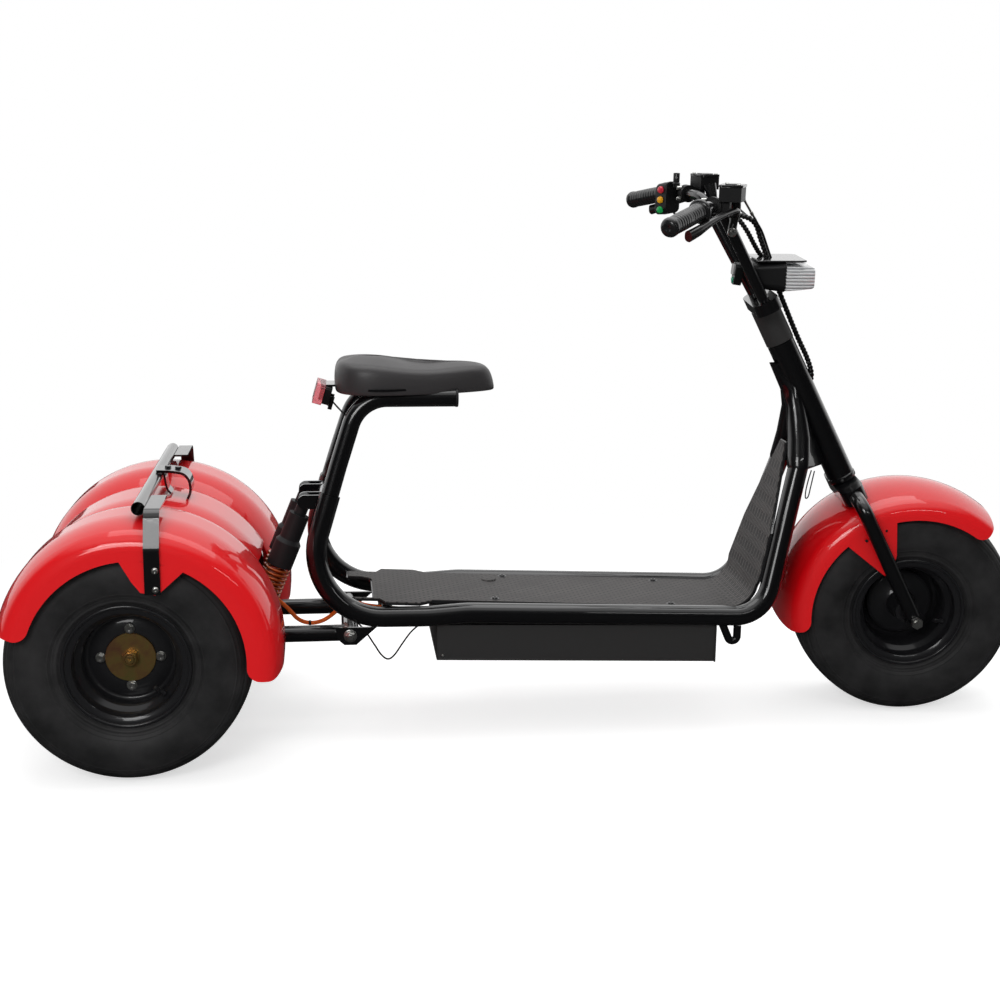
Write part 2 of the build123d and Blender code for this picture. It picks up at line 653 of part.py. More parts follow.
def three_humps(inset, arc, turn):
    """The fender's outer form, or the space inside it when inset by the wall, turned about its centre."""
    half = rear_fender_half - inset
    corner = (half - skirt_flare, rear_fender_r - shoulder_drop)
    foot = (half, skirt_r - 3 * inset)
    crown_r = rear_fender_r - inset
    valley_r = rear_fender_valley_r - inset
    mid_r = rear_fender_mid_r - inset
    with BuildPart() as form:
        with BuildSketch(cross_plane(fender_x, 0, fender_z)) as section:
            with BuildLine():
                for out in (-1, 1):
                    crown_out = (out * (half_track + crown_flat_half), crown_r)
                    crown_in = (out * (half_track - crown_flat_half), crown_r)
                    valley = (out * valley_half, valley_r)
                    Line((out * foot[0], foot[1]), (out * corner[0], corner[1]))
                    TangentArc(crown_out, (out * corner[0], corner[1]), tangent=(out, 0))
                    Line(crown_out, crown_in)
                    TangentArc(crown_in, valley, tangent=(-out, 0))
                    TangentArc((out * mid_flat_half, mid_r), valley, tangent=(out, 0))
                Line((-mid_flat_half, mid_r), (mid_flat_half, mid_r))
                Line((-foot[0], foot[1]), foot)
            make_face()
            shoulders = section.vertices().filter_by(lambda v: v.Y > skirt_r + 10)
            fillet(shoulders.filter_by(lambda v: abs(v.X) > corner[0] - 1), radius=shoulder_r - inset)
        revolve(axis=Axis((fender_x, 0, fender_z), (0, 1, 0)), revolution_arc=arc)
    return form.part.rotate(Axis((fender_x, 0, fender_z), (0, 1, 0)), turn)


rear_tab = [(arch_r + 8, 62), (150, 70), (skirt_r - 2, 74), (skirt_r - 2, 83), (160, 90), (arch_r + 8, 97)]
rear_side = side_outline((fender_x, fender_z), arch_r, rear_fender_r + 4, rear_fender_from, rear_fender_to,
                         lobe_r, rear_tab, rear_fender_half + 5)
with BuildPart() as rear_fender:
    add(three_humps(0, 190, -84))
    add(rear_side, mode=Mode.INTERSECT)
    add(three_humps(fender_wall, 210, -94), mode=Mode.SUBTRACT)
    with BuildSketch(side_plane(0)):
        with BuildLine():
            reach = rear_fender_r + 30
            Polyline((fender_x + 100, fender_z - 100), (fender_x + 100, fender_z + 60),
                     (fender_x + reach * cos(radians(passage_to)), fender_z + reach * sin(radians(passage_to))),
                     (fender_x + reach, fender_z - 100), close=True)
        make_face()
    extrude(amount=valley_half, both=True, mode=Mode.SUBTRACT)
rear_fender.part.label = "rear_fender"
export_step(rear_fender.part, "parts/rear_fender.step")

# ---------------------------------------------------------------- rear bar, straps and centre bracket
bar_centre = rear(30, 0, 519)
strap_w = 28.0
strap_t = 4.0
strap_x = bar_centre.X + rear_bar_r + seat_gap
with BuildPart() as rear_bar:
    add(rod(beside(bar_centre, -rear_bar_half), beside(bar_centre, rear_bar_half), rear_bar_r, rear_bar_r - 2))
rear_bar.part.label = "rear_bar"
export_step(rear_bar.part, "parts/rear_bar.step")

with BuildPart() as fender_straps:
    for out in (-1, 1):
        with BuildSketch(Plane(origin=(strap_x, 0, 0), x_dir=(0, 1, 0), z_dir=(1, 0, 0))):
            with BuildLine():
                FilletPolyline((out * 200, 519), (out * 322, 519), (out * 347.4, 455), (out * 349.2, 374),
                               radius=[18, 40])
                offset(amount=out * strap_t, side=Side.LEFT if out > 0 else Side.RIGHT)
            make_face()
        extrude(amount=strap_w)
fender_straps.part.label = "fender_straps"
export_step(fender_straps.part, "parts/fender_straps.step")

# ---------------------------------------------------------------- seat
base_t = 4.0
base_foot = rail_front.Z + rail_r + 0.4
seat_foot = base_foot + base_t + seat_gap     # under side of the foam
seat_skirt = 14.0             # how far the cover's edge hangs below the foam
seat_top = rear(0, 0, 761).Z
seat_rear = rear(388, 0, 0).X
seat_front = rear(699, 0, 0).X
seat_l = seat_front - seat_rear
seat_edge_r = 20.0
skirt_t = 9.0


def seat_outline(inset):
    """The seat from above: broad behind, narrow in front, with rounded ends."""
    with BuildSketch() as plan:
        with BuildLine():
            Spline((seat_rear + inset, 0), (seat_rear + 0.05 * seat_l + inset, -84 + inset),
                   (seat_rear + 0.2 * seat_l, -116 + inset), (seat_rear + 0.5 * seat_l, -103 + inset),
                   (seat_rear + 0.85 * seat_l, -66 + inset), (seat_front - inset, -30 + inset / 2),
                   (seat_front - inset, 30 - inset / 2), (seat_rear + 0.85 * seat_l, 66 - inset),
                   (seat_rear + 0.5 * seat_l, 103 - inset), (seat_rear + 0.2 * seat_l, 116 - inset),
                   (seat_rear + 0.05 * seat_l + inset, 84 - inset), periodic=True)
        make_face()
    return plan.sketch


lamp_w = 90.0
lamp_ear = (62, 60)           # length and width of the base plate's tongue behind the seat
with BuildPart() as seat:
    with BuildSketch(Plane.XY.offset(seat_foot - seat_skirt)):
        add(seat_outline(0))
    extrude(amount=seat_top - seat_foot + seat_skirt)
    fillet(seat.faces().sort_by(Axis.Z)[-1].edges(), radius=seat_edge_r)
    with BuildSketch(Plane.XY.offset(seat_foot - seat_skirt)):
        add(seat_outline(skirt_t))
    extrude(amount=seat_skirt, mode=Mode.SUBTRACT)
    with BuildSketch(Plane.XY.offset(seat_foot - seat_skirt)):
        with Locations((seat_rear, 0)):
            Rectangle(2 * lamp_ear[0], lamp_w + 4)
    extrude(amount=seat_skirt, mode=Mode.SUBTRACT)
    for out in (-1, 1):
        rail_end = beside(rail_front, out * rail_half)
        add(rod(beside(rail_corner, out * rail_half), rail_end + Vector(60, 0, 0), rail_r + 3), mode=Mode.SUBTRACT)
seat.part.label = "seat"
export_step(seat.part, "parts/seat.step")

with BuildPart() as seat_base:
    with BuildSketch(Plane.XY.offset(base_foot)):
        add(seat_outline(skirt_t + 4))
        with Locations((seat_rear + 30, 0)):
            RectangleRounded(2 * lamp_ear[0], lamp_ear[1], 6)
    extrude(amount=base_t)
seat_base.part.label = "seat_base"
export_step(seat_base.part, "parts/seat_base.step")

lamp_t = 34.0
with BuildPart() as tail_lamp:
    with BuildSketch(Plane(origin=(seat_rear + 30 - lamp_ear[0], 0, base_foot - seat_gap), x_dir=(0, 1, 0),
                           z_dir=(1, 0, -0.3))):
        RectangleRounded(lamp_w, 42, 6, align=(Align.CENTER, Align.MAX))
    extrude(amount=lamp_t)
    split(bisect_by=Plane(origin=(0, 0, base_foot - seat_gap), z_dir=(0, 0, 1)), keep=Keep.BOTTOM)
tail_lamp.part.label = "tail_lamp"
export_step(tail_lamp.part, "parts/tail_lamp.step")

# ================================================================ steering
crown_top = head_bottom - bearing_gap
crown_foot = front_fender_r + seat_gap
collar_top = 705.0
collar_r = head_r + 1
steerer_top = 722.0

with BuildPart() as steerer:
    with BuildSketch(steer_plane.offset(crown_foot + 1)):
        Circle(steerer_r)
    extrude(amount=steerer_top - crown_foot - 1)
    with BuildSketch(steer_plane.offset(head_top + bearing_gap)):
        Circle(collar_r)
    extrude(amount=collar_top - head_top - bearing_gap)
steerer.part = park(steerer.part)
steerer.part.label = "steerer"
export_step(steerer.part, "parts/steerer.step")

leg_top_half = 78.0
leg_bend_r = 32.0
with BuildPart() as fork:
    with BuildSketch(steer_plane.offset(crown_foot)):
        SlotOverall(190, 50, rotation=90)
        Circle(steerer_r + seat_gap, mode=Mode.SUBTRACT)
    extrude(amount=crown_top - crown_foot)
    for out in (-1, 1):
        add(tube_along([fork_point(0, out * leg_top_half, crown_top - 14),
                        fork_point(0, out * leg_half, crown_top - 30),
                        fork_point(0, out * leg_half, 8)], leg_bend_r, leg_r))
        with BuildSketch(Plane(origin=fork_point(0, out * leg_half, 0), z_dir=(0, 1, 0))):
            Circle(18)
        extrude(amount=fork_end_t / 2, both=True)
    with BuildSketch(Plane(origin=fork_point(0, 0, 0), z_dir=(0, 1, 0))):
        Circle(front_axle_r + seat_gap)
    extrude(amount=leg_half + leg_r + 1, both=True, mode=Mode.SUBTRACT)
fork.part = park(fork.part)
fork.part.label = "fork"
export_step(fork.part, "parts/fork.step")

nut_t = 11.0
with BuildPart() as front_axle:
    axle_half = leg_half + leg_r + seat_gap + nut_t + 4
    add(rod(fork_point(0, -axle_half, 0), fork_point(0, axle_half, 0), front_axle_r))
    for out in (-1, 1):
        with BuildSketch(Plane(origin=fork_point(0, out * (leg_half + leg_r + seat_gap), 0),
                               z_dir=(0, out, 0))):
            RegularPolygon(12, 6)
        extrude(amount=nut_t)
front_axle.part = park(front_axle.part)
front_axle.part.label = "front_axle"
export_step(front_axle.part, "parts/front_axle.step")

front_arch_r = 209.0
front_tab_r = 108.0
front_tab = [(front_arch_r + 8, 134), (front_tab_r + 2, 126), (front_tab_r, 118), (139, 108),
             (front_arch_r + 8, 103)]
front_fender_from = 50.0
front_fender_to = 190.0


def single_hump(inset, arc, turn):
    """The front fender's outer form, or the space inside it when inset by the wall."""
    half = front_fender_half - inset
    corner = (half - 2, front_fender_r - 28)
    foot = (half, front_tab_r - 3 * inset)
    with BuildPart() as form:
        with BuildSketch(cross_plane(front_axle_x, 0, tyre_r)) as section:
            with BuildLine():
                Line((-foot[0], foot[1]), (-corner[0], corner[1]))
                ThreePointArc((-corner[0], corner[1]), (0, front_fender_r - inset), corner)
                Line(corner, foot)
                Line(foot, (-foot[0], foot[1]))
            make_face()
            shoulders = section.vertices().filter_by(lambda v: v.Y > front_tab_r + 10)
            fillet(shoulders, radius=36 - inset)
        revolve(axis=Axis((front_axle_x, 0, tyre_r), (0, 1, 0)), revolution_arc=arc)
    return form.part.rotate(Axis((front_axle_x, 0, tyre_r), (0, 1, 0)), turn)


front_side = side_outline((front_axle_x, tyre_r), front_arch_r, front_fender_r + 3, front_fender_from,
                          front_fender_to, 24, front_tab, front_fender_half + 5)
with BuildPart() as front_fender:
    add(single_hump(0, 154, -107))
    add(front_side, mode=Mode.INTERSECT)
    add(single_hump(fender_wall, 174, -117), mode=Mode.SUBTRACT)
front_fender.part = park(front_fender.part)
front_fender.part.label = "front_fender"
export_step(front_fender.part, "parts/front_fender.step")

# ---------------------------------------------------------------- handlebar
bar_r = 11.0
base_half = 84.0
riser_half = 62.0
grip_half = 17.0
bar_knee = fork_point(-10, 116, 950)
bar_bend = fork_point(-45, 235, 972)
bar_end = fork_point(-128, 345, 985)


def mirrored(point, out):
    """The same point on the right (-1) or the left (1)."""
    return Vector(point.X, out * point.Y, point.Z)


with BuildPart() as handlebar:
    with BuildSketch(steer_plane.offset(collar_top + seat_gap)):
        SlotOverall(2 * base_half, 54, rotation=90)
        Circle(steerer_r + seat_gap, mode=Mode.SUBTRACT)
    extrude(amount=24)
    for out in (-1, 1):
        add(tube_along([fork_point(-2, out * riser_half, collar_top + 12), mirrored(bar_knee, out),
                        mirrored(bar_bend, out), mirrored(bar_end, out)], [34, 60], bar_r))
handlebar.part = park(handlebar.part)
handlebar.part.label = "handlebar"
export_step(handlebar.part, "parts/handlebar.step")

grip_l = 122.0
grip_r = 16.0
bar_way = (bar_end - bar_bend).normalized()
with BuildPart() as grips:
    for out in (-1, 1):
        way = Vector(bar_way.X, out * bar_way.Y, bar_way.Z)
        tip = mirrored(bar_end, out) + way * 8
        add(rod(tip - way * grip_l, tip, grip_r))
        add(rod(tip - way * grip_l, tip - way * (grip_l - 9), grip_r + 7))
        add(rod(tip - way * (grip_l + 5), tip - way * 7.7, bar_r + seat_gap), mode=Mode.SUBTRACT)
grips.part = park(grips.part)
grips.part.label = "grips"
export_step(grips.part, "parts/grips.step")

# A brake cylinder with its reservoir and lever clamps on each side, inboard of the grip.
master_back = 55.0            # from the bar's bend, towards the middle
inner_way = (bar_bend - bar_knee).normalized()
with BuildPart() as brake_masters:
    for out in (-1, 1):
        way = Vector(inner_way.X, out * inner_way.Y, inner_way.Z)
        at = mirrored(bar_bend - inner_way * master_back, out)
        add(rod(at - way * 9, at + way * 9, bar_r + 7))
        with BuildSketch(Plane(origin=at + Vector(36, 0, 10), x_dir=(way.X, way.Y, 0), z_dir=(0, 0, 1))):
            Rectangle(50, 42)
        extrude(amount=26)
        with BuildSketch(Plane(origin=at + Vector(24, 0, 0), x_dir=(way.X, way.Y, 0), z_dir=(0, 0, 1))):
            Rectangle(22, 20)
        extrude(amount=14, both=True)
        add(rod(at - way * 30, at + way * 30, bar_r + running_fit), mode=Mode.SUBTRACT)
brake_masters.part = park(brake_masters.part)
brake_masters.part.label = "brake_masters"
export_step(brake_masters.part, "parts/brake_masters.step")

# ---------------------------------------------------------------- headlight
lamp_z = 923.0
lamp_w = 132.0
lamp_h = 62.0
lens_from = 62.0              # ahead of the steering axis, at the lamp's own height
lens_to = 128.0
lamp_s = (lamp_z - tyre_r) / cos(radians(rake))


def lamp_plane(ahead):
    """A plane across the vehicle, some way ahead of the steering axis at the lamp's height."""
    on_axis = fork_point(0, 0, lamp_s)
    return Plane(origin=on_axis + Vector(ahead, 0, 0), x_dir=(0, 1, 0), z_dir=(1, 0, 0))


with BuildPart() as headlight_lens:
    with BuildSketch(lamp_plane(lens_from + seat_gap)):
        RectangleRounded(lamp_w, lamp_h, 16)
    with BuildSketch(lamp_plane(lens_to)):
        RectangleRounded(lamp_w - 14, lamp_h - 10, 16)
    loft()
headlight_lens.part = park(headlight_lens.part)
headlight_lens.part.label = "headlight_lens"
export_step(headlight_lens.part, "parts/headlight_lens.step")

bracket_from = 748.0
bracket_to = 800.0
bracket_t = 4.0
bracket_ahead = -6.0
with BuildPart() as headlight:
    with BuildSketch(lamp_plane(lens_from)):
        RectangleRounded(lamp_w, lamp_h, 14)
    with BuildSketch(lamp_plane(-14)):
        RectangleRounded(lamp_w - 40, lamp_h - 16, 12)
    loft()
    with BuildSketch(Plane(origin=fork_point(bracket_ahead + bracket_t + seat_gap, 0, lamp_s),
                           z_dir=-steer_plane.x_dir)):
        Rectangle(2 * lamp_w, 4 * lamp_h)
    extrude(amount=lamp_h, mode=Mode.SUBTRACT)
headlight.part = park(headlight.part)
headlight.part.label = "headlight"
export_step(headlight.part, "parts/headlight.step")



def riser_inner(up):
    """How far the inner face of a riser is from the middle plane, at a height on the steering axis."""
    foot_up = collar_top + 12
    lean = (bar_knee.Y - riser_half) / (950 - foot_up)
    return riser_half + lean * (up - foot_up) - bar_r / cos(lean)


with BuildPart() as headlight_bracket:
    with BuildSketch(Plane(origin=fork_point(bracket_ahead, 0, 0), x_dir=(0, 1, 0), z_dir=steer_plane.x_dir)):
        with BuildLine():
            Polyline((-riser_inner(bracket_from) + 1, bracket_from), (riser_inner(bracket_from) - 1, bracket_from),
                     (riser_inner(bracket_to) - 1, bracket_to), (1 - riser_inner(bracket_to), bracket_to),
                     close=True)
        make_face()
    extrude(amount=bracket_t)
headlight_bracket.part = park(headlight_bracket.part)
headlight_bracket.part.label = "headlight_bracket"
export_step(headlight_bracket.part, "parts/headlight_bracket.step")
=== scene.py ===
import bpy
import numpy as np
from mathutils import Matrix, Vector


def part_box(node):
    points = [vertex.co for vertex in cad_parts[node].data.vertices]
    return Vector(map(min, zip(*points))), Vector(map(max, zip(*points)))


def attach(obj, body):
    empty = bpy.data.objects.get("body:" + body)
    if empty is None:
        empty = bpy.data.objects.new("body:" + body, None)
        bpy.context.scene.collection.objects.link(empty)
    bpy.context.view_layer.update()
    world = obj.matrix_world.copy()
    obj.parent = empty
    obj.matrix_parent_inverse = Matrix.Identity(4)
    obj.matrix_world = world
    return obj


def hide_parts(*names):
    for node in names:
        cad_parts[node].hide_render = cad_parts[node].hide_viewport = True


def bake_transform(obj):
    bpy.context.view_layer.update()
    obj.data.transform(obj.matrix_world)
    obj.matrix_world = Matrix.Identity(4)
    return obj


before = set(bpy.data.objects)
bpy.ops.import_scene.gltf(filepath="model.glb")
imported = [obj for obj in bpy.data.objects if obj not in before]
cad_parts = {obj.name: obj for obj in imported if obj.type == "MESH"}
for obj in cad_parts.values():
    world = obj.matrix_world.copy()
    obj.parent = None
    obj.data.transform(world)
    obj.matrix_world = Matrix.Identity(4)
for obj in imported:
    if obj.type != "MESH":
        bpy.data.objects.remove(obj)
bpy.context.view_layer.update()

# ---------------------------------------------------------------- the viewer
# Someone stands almost three metres off the right side, a little behind the middle of the scooter,
# and looks slightly down and forward.  The lens takes in the whole vehicle.
VIEWER = (-0.406, -2.838, 1.097)
DOWN, TOWARD_FRONT, LEAN = np.radians((12.59, 6.82, 0.63))
camera_data = bpy.data.cameras.new("viewer")
camera_data.sensor_width = 36.0
camera_data.lens = 51.19
camera_data.clip_start = 0.05
camera = bpy.data.objects.new("viewer", camera_data)
bpy.context.scene.collection.objects.link(camera)
ahead = np.array((np.sin(TOWARD_FRONT) * np.cos(DOWN), np.cos(TOWARD_FRONT) * np.cos(DOWN), -np.sin(DOWN)))
level = np.array((np.cos(TOWARD_FRONT), -np.sin(TOWARD_FRONT), 0.0))
above = np.cross(level, ahead)
right = np.cos(LEAN) * level + np.sin(LEAN) * above
up = np.cos(LEAN) * above - np.sin(LEAN) * level
placed = np.eye(4)
placed[:3, 0], placed[:3, 1], placed[:3, 2], placed[:3, 3] = right, up, -ahead, VIEWER
camera.matrix_world = placed.T.tolist()
bpy.context.scene.camera = camera

# ---------------------------------------------------------------- studio
# A white paper sweep on the floor, a large soft panel overhead, one from the viewer's side and two
# narrow ones that draw the bright lines along the painted curves.


def linear(code):
    """An sRGB hex colour as linear light: c / 12.92 if dark, else (c + 0.055) / 1.055 to the power 2.4."""
    c = np.array([int(code[i:i + 2], 16) / 255 for i in (1, 3, 5)])
    c = np.where(c <= 0.04045, c / 12.92, ((c + 0.055) / 1.055) ** 2.4)
    return (*c.tolist(), 1.0)


def add(tree, kind, inputs=None, **settings):
    """A node of that kind: settings are its properties, inputs are values or other nodes' outputs."""
    made = tree.nodes.new(kind)
    for key, value in settings.items():
        setattr(made, key, value)
    for key, value in (inputs or {}).items():
        if isinstance(value, bpy.types.NodeSocket):
            tree.links.new(value, made.inputs[key])
        else:
            made.inputs[key].default_value = value
    return made


def new_finish(name):
    """An empty node material."""
    material = bpy.data.materials.new(name)
    material.use_nodes = True
    material.node_tree.nodes.clear()
    return material


WHITE = linear("#ffffff")
world = bpy.data.worlds.new("studio")
bpy.context.scene.world = world
world.use_nodes = True
world.node_tree.nodes.clear()
air = world.node_tree
ray = add(air, "ShaderNodeLightPath")
way = add(air, "ShaderNodeSeparateXYZ", {0: add(air, "ShaderNodeTexCoord").outputs["Generated"]})
behind = add(air, "ShaderNodeMapRange", {"Value": way.outputs["Y"], "From Min": -0.15, "From Max": 0.3,
                                         "To Min": 0.015, "To Max": 1.0}, interpolation_type="SMOOTHSTEP")
overhead = add(air, "ShaderNodeMapRange", {"Value": way.outputs["Z"], "From Min": 0.6, "From Max": 0.85,
                                           "To Min": 0.0, "To Max": 1.0}, interpolation_type="SMOOTHSTEP")
seen_in_gloss = add(air, "ShaderNodeMath", {0: behind.outputs[0], 1: overhead.outputs[0]},
                    operation="MAXIMUM")
soft = add(air, "ShaderNodeBackground", {"Color": WHITE, "Strength": 0.5})
mirrored_air = add(air, "ShaderNodeBackground", {"Color": WHITE, "Strength": seen_in_gloss.outputs[0]})
white_air = add(air, "ShaderNodeBackground", {"Color": WHITE, "Strength": 1.0})
by_gloss = add(air, "ShaderNodeMixShader", {0: ray.outputs["Is Glossy Ray"], 1: soft.outputs[0],
                                            2: mirrored_air.outputs[0]})
straight = add(air, "ShaderNodeMath", {0: ray.outputs["Is Camera Ray"],
                                       1: ray.outputs["Is Transmission Ray"]}, operation="MAXIMUM")
final_air = add(air, "ShaderNodeMixShader", {0: straight.outputs[0], 1: by_gloss.outputs[0],
                                             2: white_air.outputs[0]})
add(air, "ShaderNodeOutputWorld", {"Surface": final_air.outputs[0]})


def panel(name, place, aim, size, watts):
    """A rectangular light at a place that faces another point."""
    data = bpy.data.lights.new(name, "AREA")
    data.shape = "RECTANGLE"
    data.size, data.size_y = size
    data.energy = watts
    lamp = bpy.data.objects.new(name, data)
    bpy.context.scene.collection.objects.link(lamp)
    back = np.array(place, float) - np.array(aim, float)
    back /= np.linalg.norm(back)
    side = np.cross((0.0, 0.0, 1.0), back)
    side = side / np.linalg.norm(side) if np.linalg.norm(side) > 0.01 else np.array((1.0, 0.0, 0.0))
    turn = np.eye(4)
    turn[:3, 0], turn[:3, 1], turn[:3, 2], turn[:3, 3] = side, np.cross(back, side), back, place
    lamp.matrix_world = turn.T.tolist()
    lamp.visible_camera = False


panel("overhead_panel", (0.0, 0.4, 3.2), (0.0, 0.4, 0.0), (3.6, 2.2), 40)
panel("side_panel", (-1.6, -3.4, 2.2), (0.0, 0.0, 0.5), (1.4, 1.4), 34)
panel("rear_strip", (-1.3, -2.3, 1.75), (-0.8, -0.3, 0.4), (1.4, 0.09), 3.2)
panel("front_strip", (1.2, -2.1, 1.6), (0.8, 0.0, 0.4), (1.2, 0.09), 2.6)

floor_data = bpy.data.meshes.new("paper_floor")
floor_data.from_pydata([(-7, -7, -0.0006), (7, -7, -0.0006), (7, 7, -0.0006), (-7, 7, -0.0006)], [],
                       [(0, 1, 2, 3)])
floor = bpy.data.objects.new("paper_floor", floor_data)
bpy.context.scene.collection.objects.link(floor)
paper = new_finish("white_paper_sweep")
tree = paper.node_tree
ray = add(tree, "ShaderNodeLightPath")
place = add(tree, "ShaderNodeTexCoord").outputs["Object"]
reach = add(tree, "ShaderNodeVectorMath", {0: place}, operation="LENGTH")
far = add(tree, "ShaderNodeMapRange", {"Value": reach.outputs["Value"], "From Min": 0.9, "From Max": 1.9},
          interpolation_type="SMOOTHSTEP")
plain = add(tree, "ShaderNodeBsdfDiffuse", {"Color": linear("#e6e6e6")})
glow = add(tree, "ShaderNodeEmission", {"Color": WHITE, "Strength": 0.6})
both = add(tree, "ShaderNodeAddShader", {0: plain.outputs[0], 1: glow.outputs[0]})
blown_out = add(tree, "ShaderNodeEmission", {"Color": WHITE, "Strength": 1.0})
seen_floor = add(tree, "ShaderNodeMixShader", {0: far.outputs[0], 1: both.outputs[0],
                                               2: blown_out.outputs[0]})
any_view = add(tree, "ShaderNodeMath", {0: ray.outputs["Is Camera Ray"],
                                        1: ray.outputs["Is Transmission Ray"]}, operation="MAXIMUM")
# Gloss sees the paper darker than it is, so the paint stays deep underneath.
dark_card = add(tree, "ShaderNodeBsdfDiffuse", {"Color": linear("#3a3a3a")})
lit = add(tree, "ShaderNodeMixShader", {0: ray.outputs["Is Glossy Ray"], 1: plain.outputs[0],
                                        2: dark_card.outputs[0]})
either = add(tree, "ShaderNodeMixShader", {0: any_view.outputs[0], 1: lit.outputs[0],
                                           2: seen_floor.outputs[0]})
add(tree, "ShaderNodeOutputMaterial", {"Surface": either.outputs[0]})
floor_data.materials.append(paper)
bpy.context.scene.view_settings.view_transform = "Standard"

# ---------------------------------------------------------------- tyres
# Balloon tyres of black vulcanised rubber, moulded in one piece: a crowned tread with ribs that run
# round it, a bulging wall with moulded rings, and a dusty bloom that greys the black in patches.
TYRE_R, HALF_TREAD = 0.2285, 0.078
WHEELBASE, HALF_TRACK = 1.586, 0.226
REAR_WHEELS = (("rear_right", -HALF_TRACK, -1), ("rear_left", HALF_TRACK, 1))
REAR_X = (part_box("rear_left_hub")[0].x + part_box("rear_left_hub")[1].x) / 2
FRONT_X = REAR_X + WHEELBASE
RAKE, PARKED = np.radians((27.6, -7.2))
FRONT_AXLE = np.array((FRONT_X, 0.0, TYRE_R))


def parked(points):
    """Points of a steered piece turned about the steering axis by the parked angle (Rodrigues' formula)."""
    k = np.array((-np.sin(RAKE), 0.0, np.cos(RAKE)))
    p = np.asarray(points, float) - FRONT_AXLE
    turned = p * np.cos(PARKED) + np.cross(k, p) * np.sin(PARKED)
    return FRONT_AXLE + turned + (p @ k)[..., None] * k * (1 - np.cos(PARKED))


def skin(name, grid, material, body, closed=(True, True), capped=True, smooth=40, turned=True):
    """A mesh of quads over a grid of points; rows or points wrap where closed, and open ends get a face.

    Steered pieces are given with the bar straight and are turned here, unless turned is False.  A piece with
    no body is left unattached.
    """
    if turned and body in ("steering", "front_wheel"):
        grid = parked(grid)
    rows, across = grid.shape[:2]
    i = np.arange(rows if closed[0] else rows - 1)[:, None]
    j = np.arange(across if closed[1] else across - 1)[None, :]
    quads = np.stack(np.broadcast_arrays(i * across + j, i * across + (j + 1) % across,
                                         (i + 1) % rows * across + (j + 1) % across,
                                         (i + 1) % rows * across + j), -1).reshape(-1, 4)
    points = grid.reshape(-1, 3)
    a, b, c, d = (points[quads[:, n]] for n in range(4))
    volume = np.einsum("ij,ij->i", a, np.cross(b, c)).sum() + np.einsum("ij,ij->i", a, np.cross(c, d)).sum()
    faces = quads.tolist()
    if capped and not closed[0]:
        faces += [list(range(across))[::-1], list(range((rows - 1) * across, rows * across))]
    if volume < 0:
        faces = [face[::-1] for face in faces]
    data = bpy.data.meshes.new(name)
    data.from_pydata(points.tolist(), [], faces)
    data.shade_smooth()
    data.set_sharp_from_angle(angle=np.radians(smooth))
    data.materials.append(material)
    piece = bpy.data.objects.new(name, data)
    bpy.context.scene.collection.objects.link(piece)
    if body:
        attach(piece, body)
    return piece


def around(profile, centre, steps):
    """A profile of (width, radius) carried round a wheel's axle: x = r cos t, z = r sin t, y = width."""
    t = np.linspace(0, 2 * np.pi, steps, endpoint=False)[:, None]
    w, r = profile[:, 0][None, :], profile[:, 1][None, :]
    return np.stack((centre[0] + r * np.cos(t), centre[1] + w + 0 * t, centre[2] + r * np.sin(t)), -1)


def hermite(p, q, leave, arrive, count):
    """Points from p to q on a cubic with given end slopes: the usual four Hermite weights of s."""
    s = np.linspace(0, 1, count, endpoint=False)[:, None]
    return ((2 * s**3 - 3 * s**2 + 1) * p + (s**3 - 2 * s**2 + s) * leave
            + (3 * s**2 - 2 * s**3) * q + (s**3 - s**2) * arrive)


def bump_at(values, middle, width, height):
    """A rounded ridge, or groove below zero: height times exp of minus the squared distance in half widths."""
    return height * np.exp(-(((values - middle) / (width / 2)) ** 2))


bead, belly, shoulder = np.array((0.0885, 0.1195)), np.array((0.105, 0.169)), np.array((HALF_TREAD, 0.2205))
wall = np.vstack((hermite(bead, belly, np.array((0.022, 0.048)), np.array((0.0, 0.062)), 60),
                  hermite(belly, shoulder, np.array((0.0, 0.062)), np.array((-0.050, 0.010)), 60)))
rings = (bump_at(wall[:, 1], 0.1245, 0.006, 0.0022) + bump_at(wall[:, 1], 0.134, 0.003, -0.0008)
         + bump_at(wall[:, 1], 0.139, 0.002, 0.0007) + bump_at(wall[:, 1], 0.199, 0.002, 0.0009)
         + bump_at(wall[:, 1], 0.2055, 0.002, 0.0006) + bump_at(wall[:, 1], 0.2135, 0.0035, -0.0016))
wall[:, 0] += rings
across = np.linspace(HALF_TREAD, -HALF_TREAD, 160)
tread = np.stack((across, TYRE_R - 0.008 * (across / HALF_TREAD) ** 2), -1)
for groove in (-0.066, -0.040, -0.0135, 0.0135, 0.040, 0.066):
    tread[:, 1] += bump_at(across, groove, 0.0055, -0.0048)
inner = np.array(((-0.070, 0.1025), (-0.084, 0.1025), (-0.089, 0.112)))
half_wall = wall * (-1, 1)
section = np.vstack((wall, tread, half_wall[::-1], inner[::-1], ((-0.064, 0.1028), (0.064, 0.1028)),
                     inner * (-1, 1)))

rubber = new_finish("vulcanised_rubber")
tree = rubber.node_tree
at = add(tree, "ShaderNodeTexCoord").outputs["Object"]
bloom = add(tree, "ShaderNodeTexNoise", {"Vector": at, "Scale": 14.0, "Detail": 6.0, "Roughness": 0.62})
shade = add(tree, "ShaderNodeValToRGB", {"Fac": bloom.outputs["Fac"]})
shade.color_ramp.elements[0].position, shade.color_ramp.elements[0].color = 0.35, linear("#171718")
shade.color_ramp.elements[1].position, shade.color_ramp.elements[1].color = 0.7, linear("#2b2a2b")
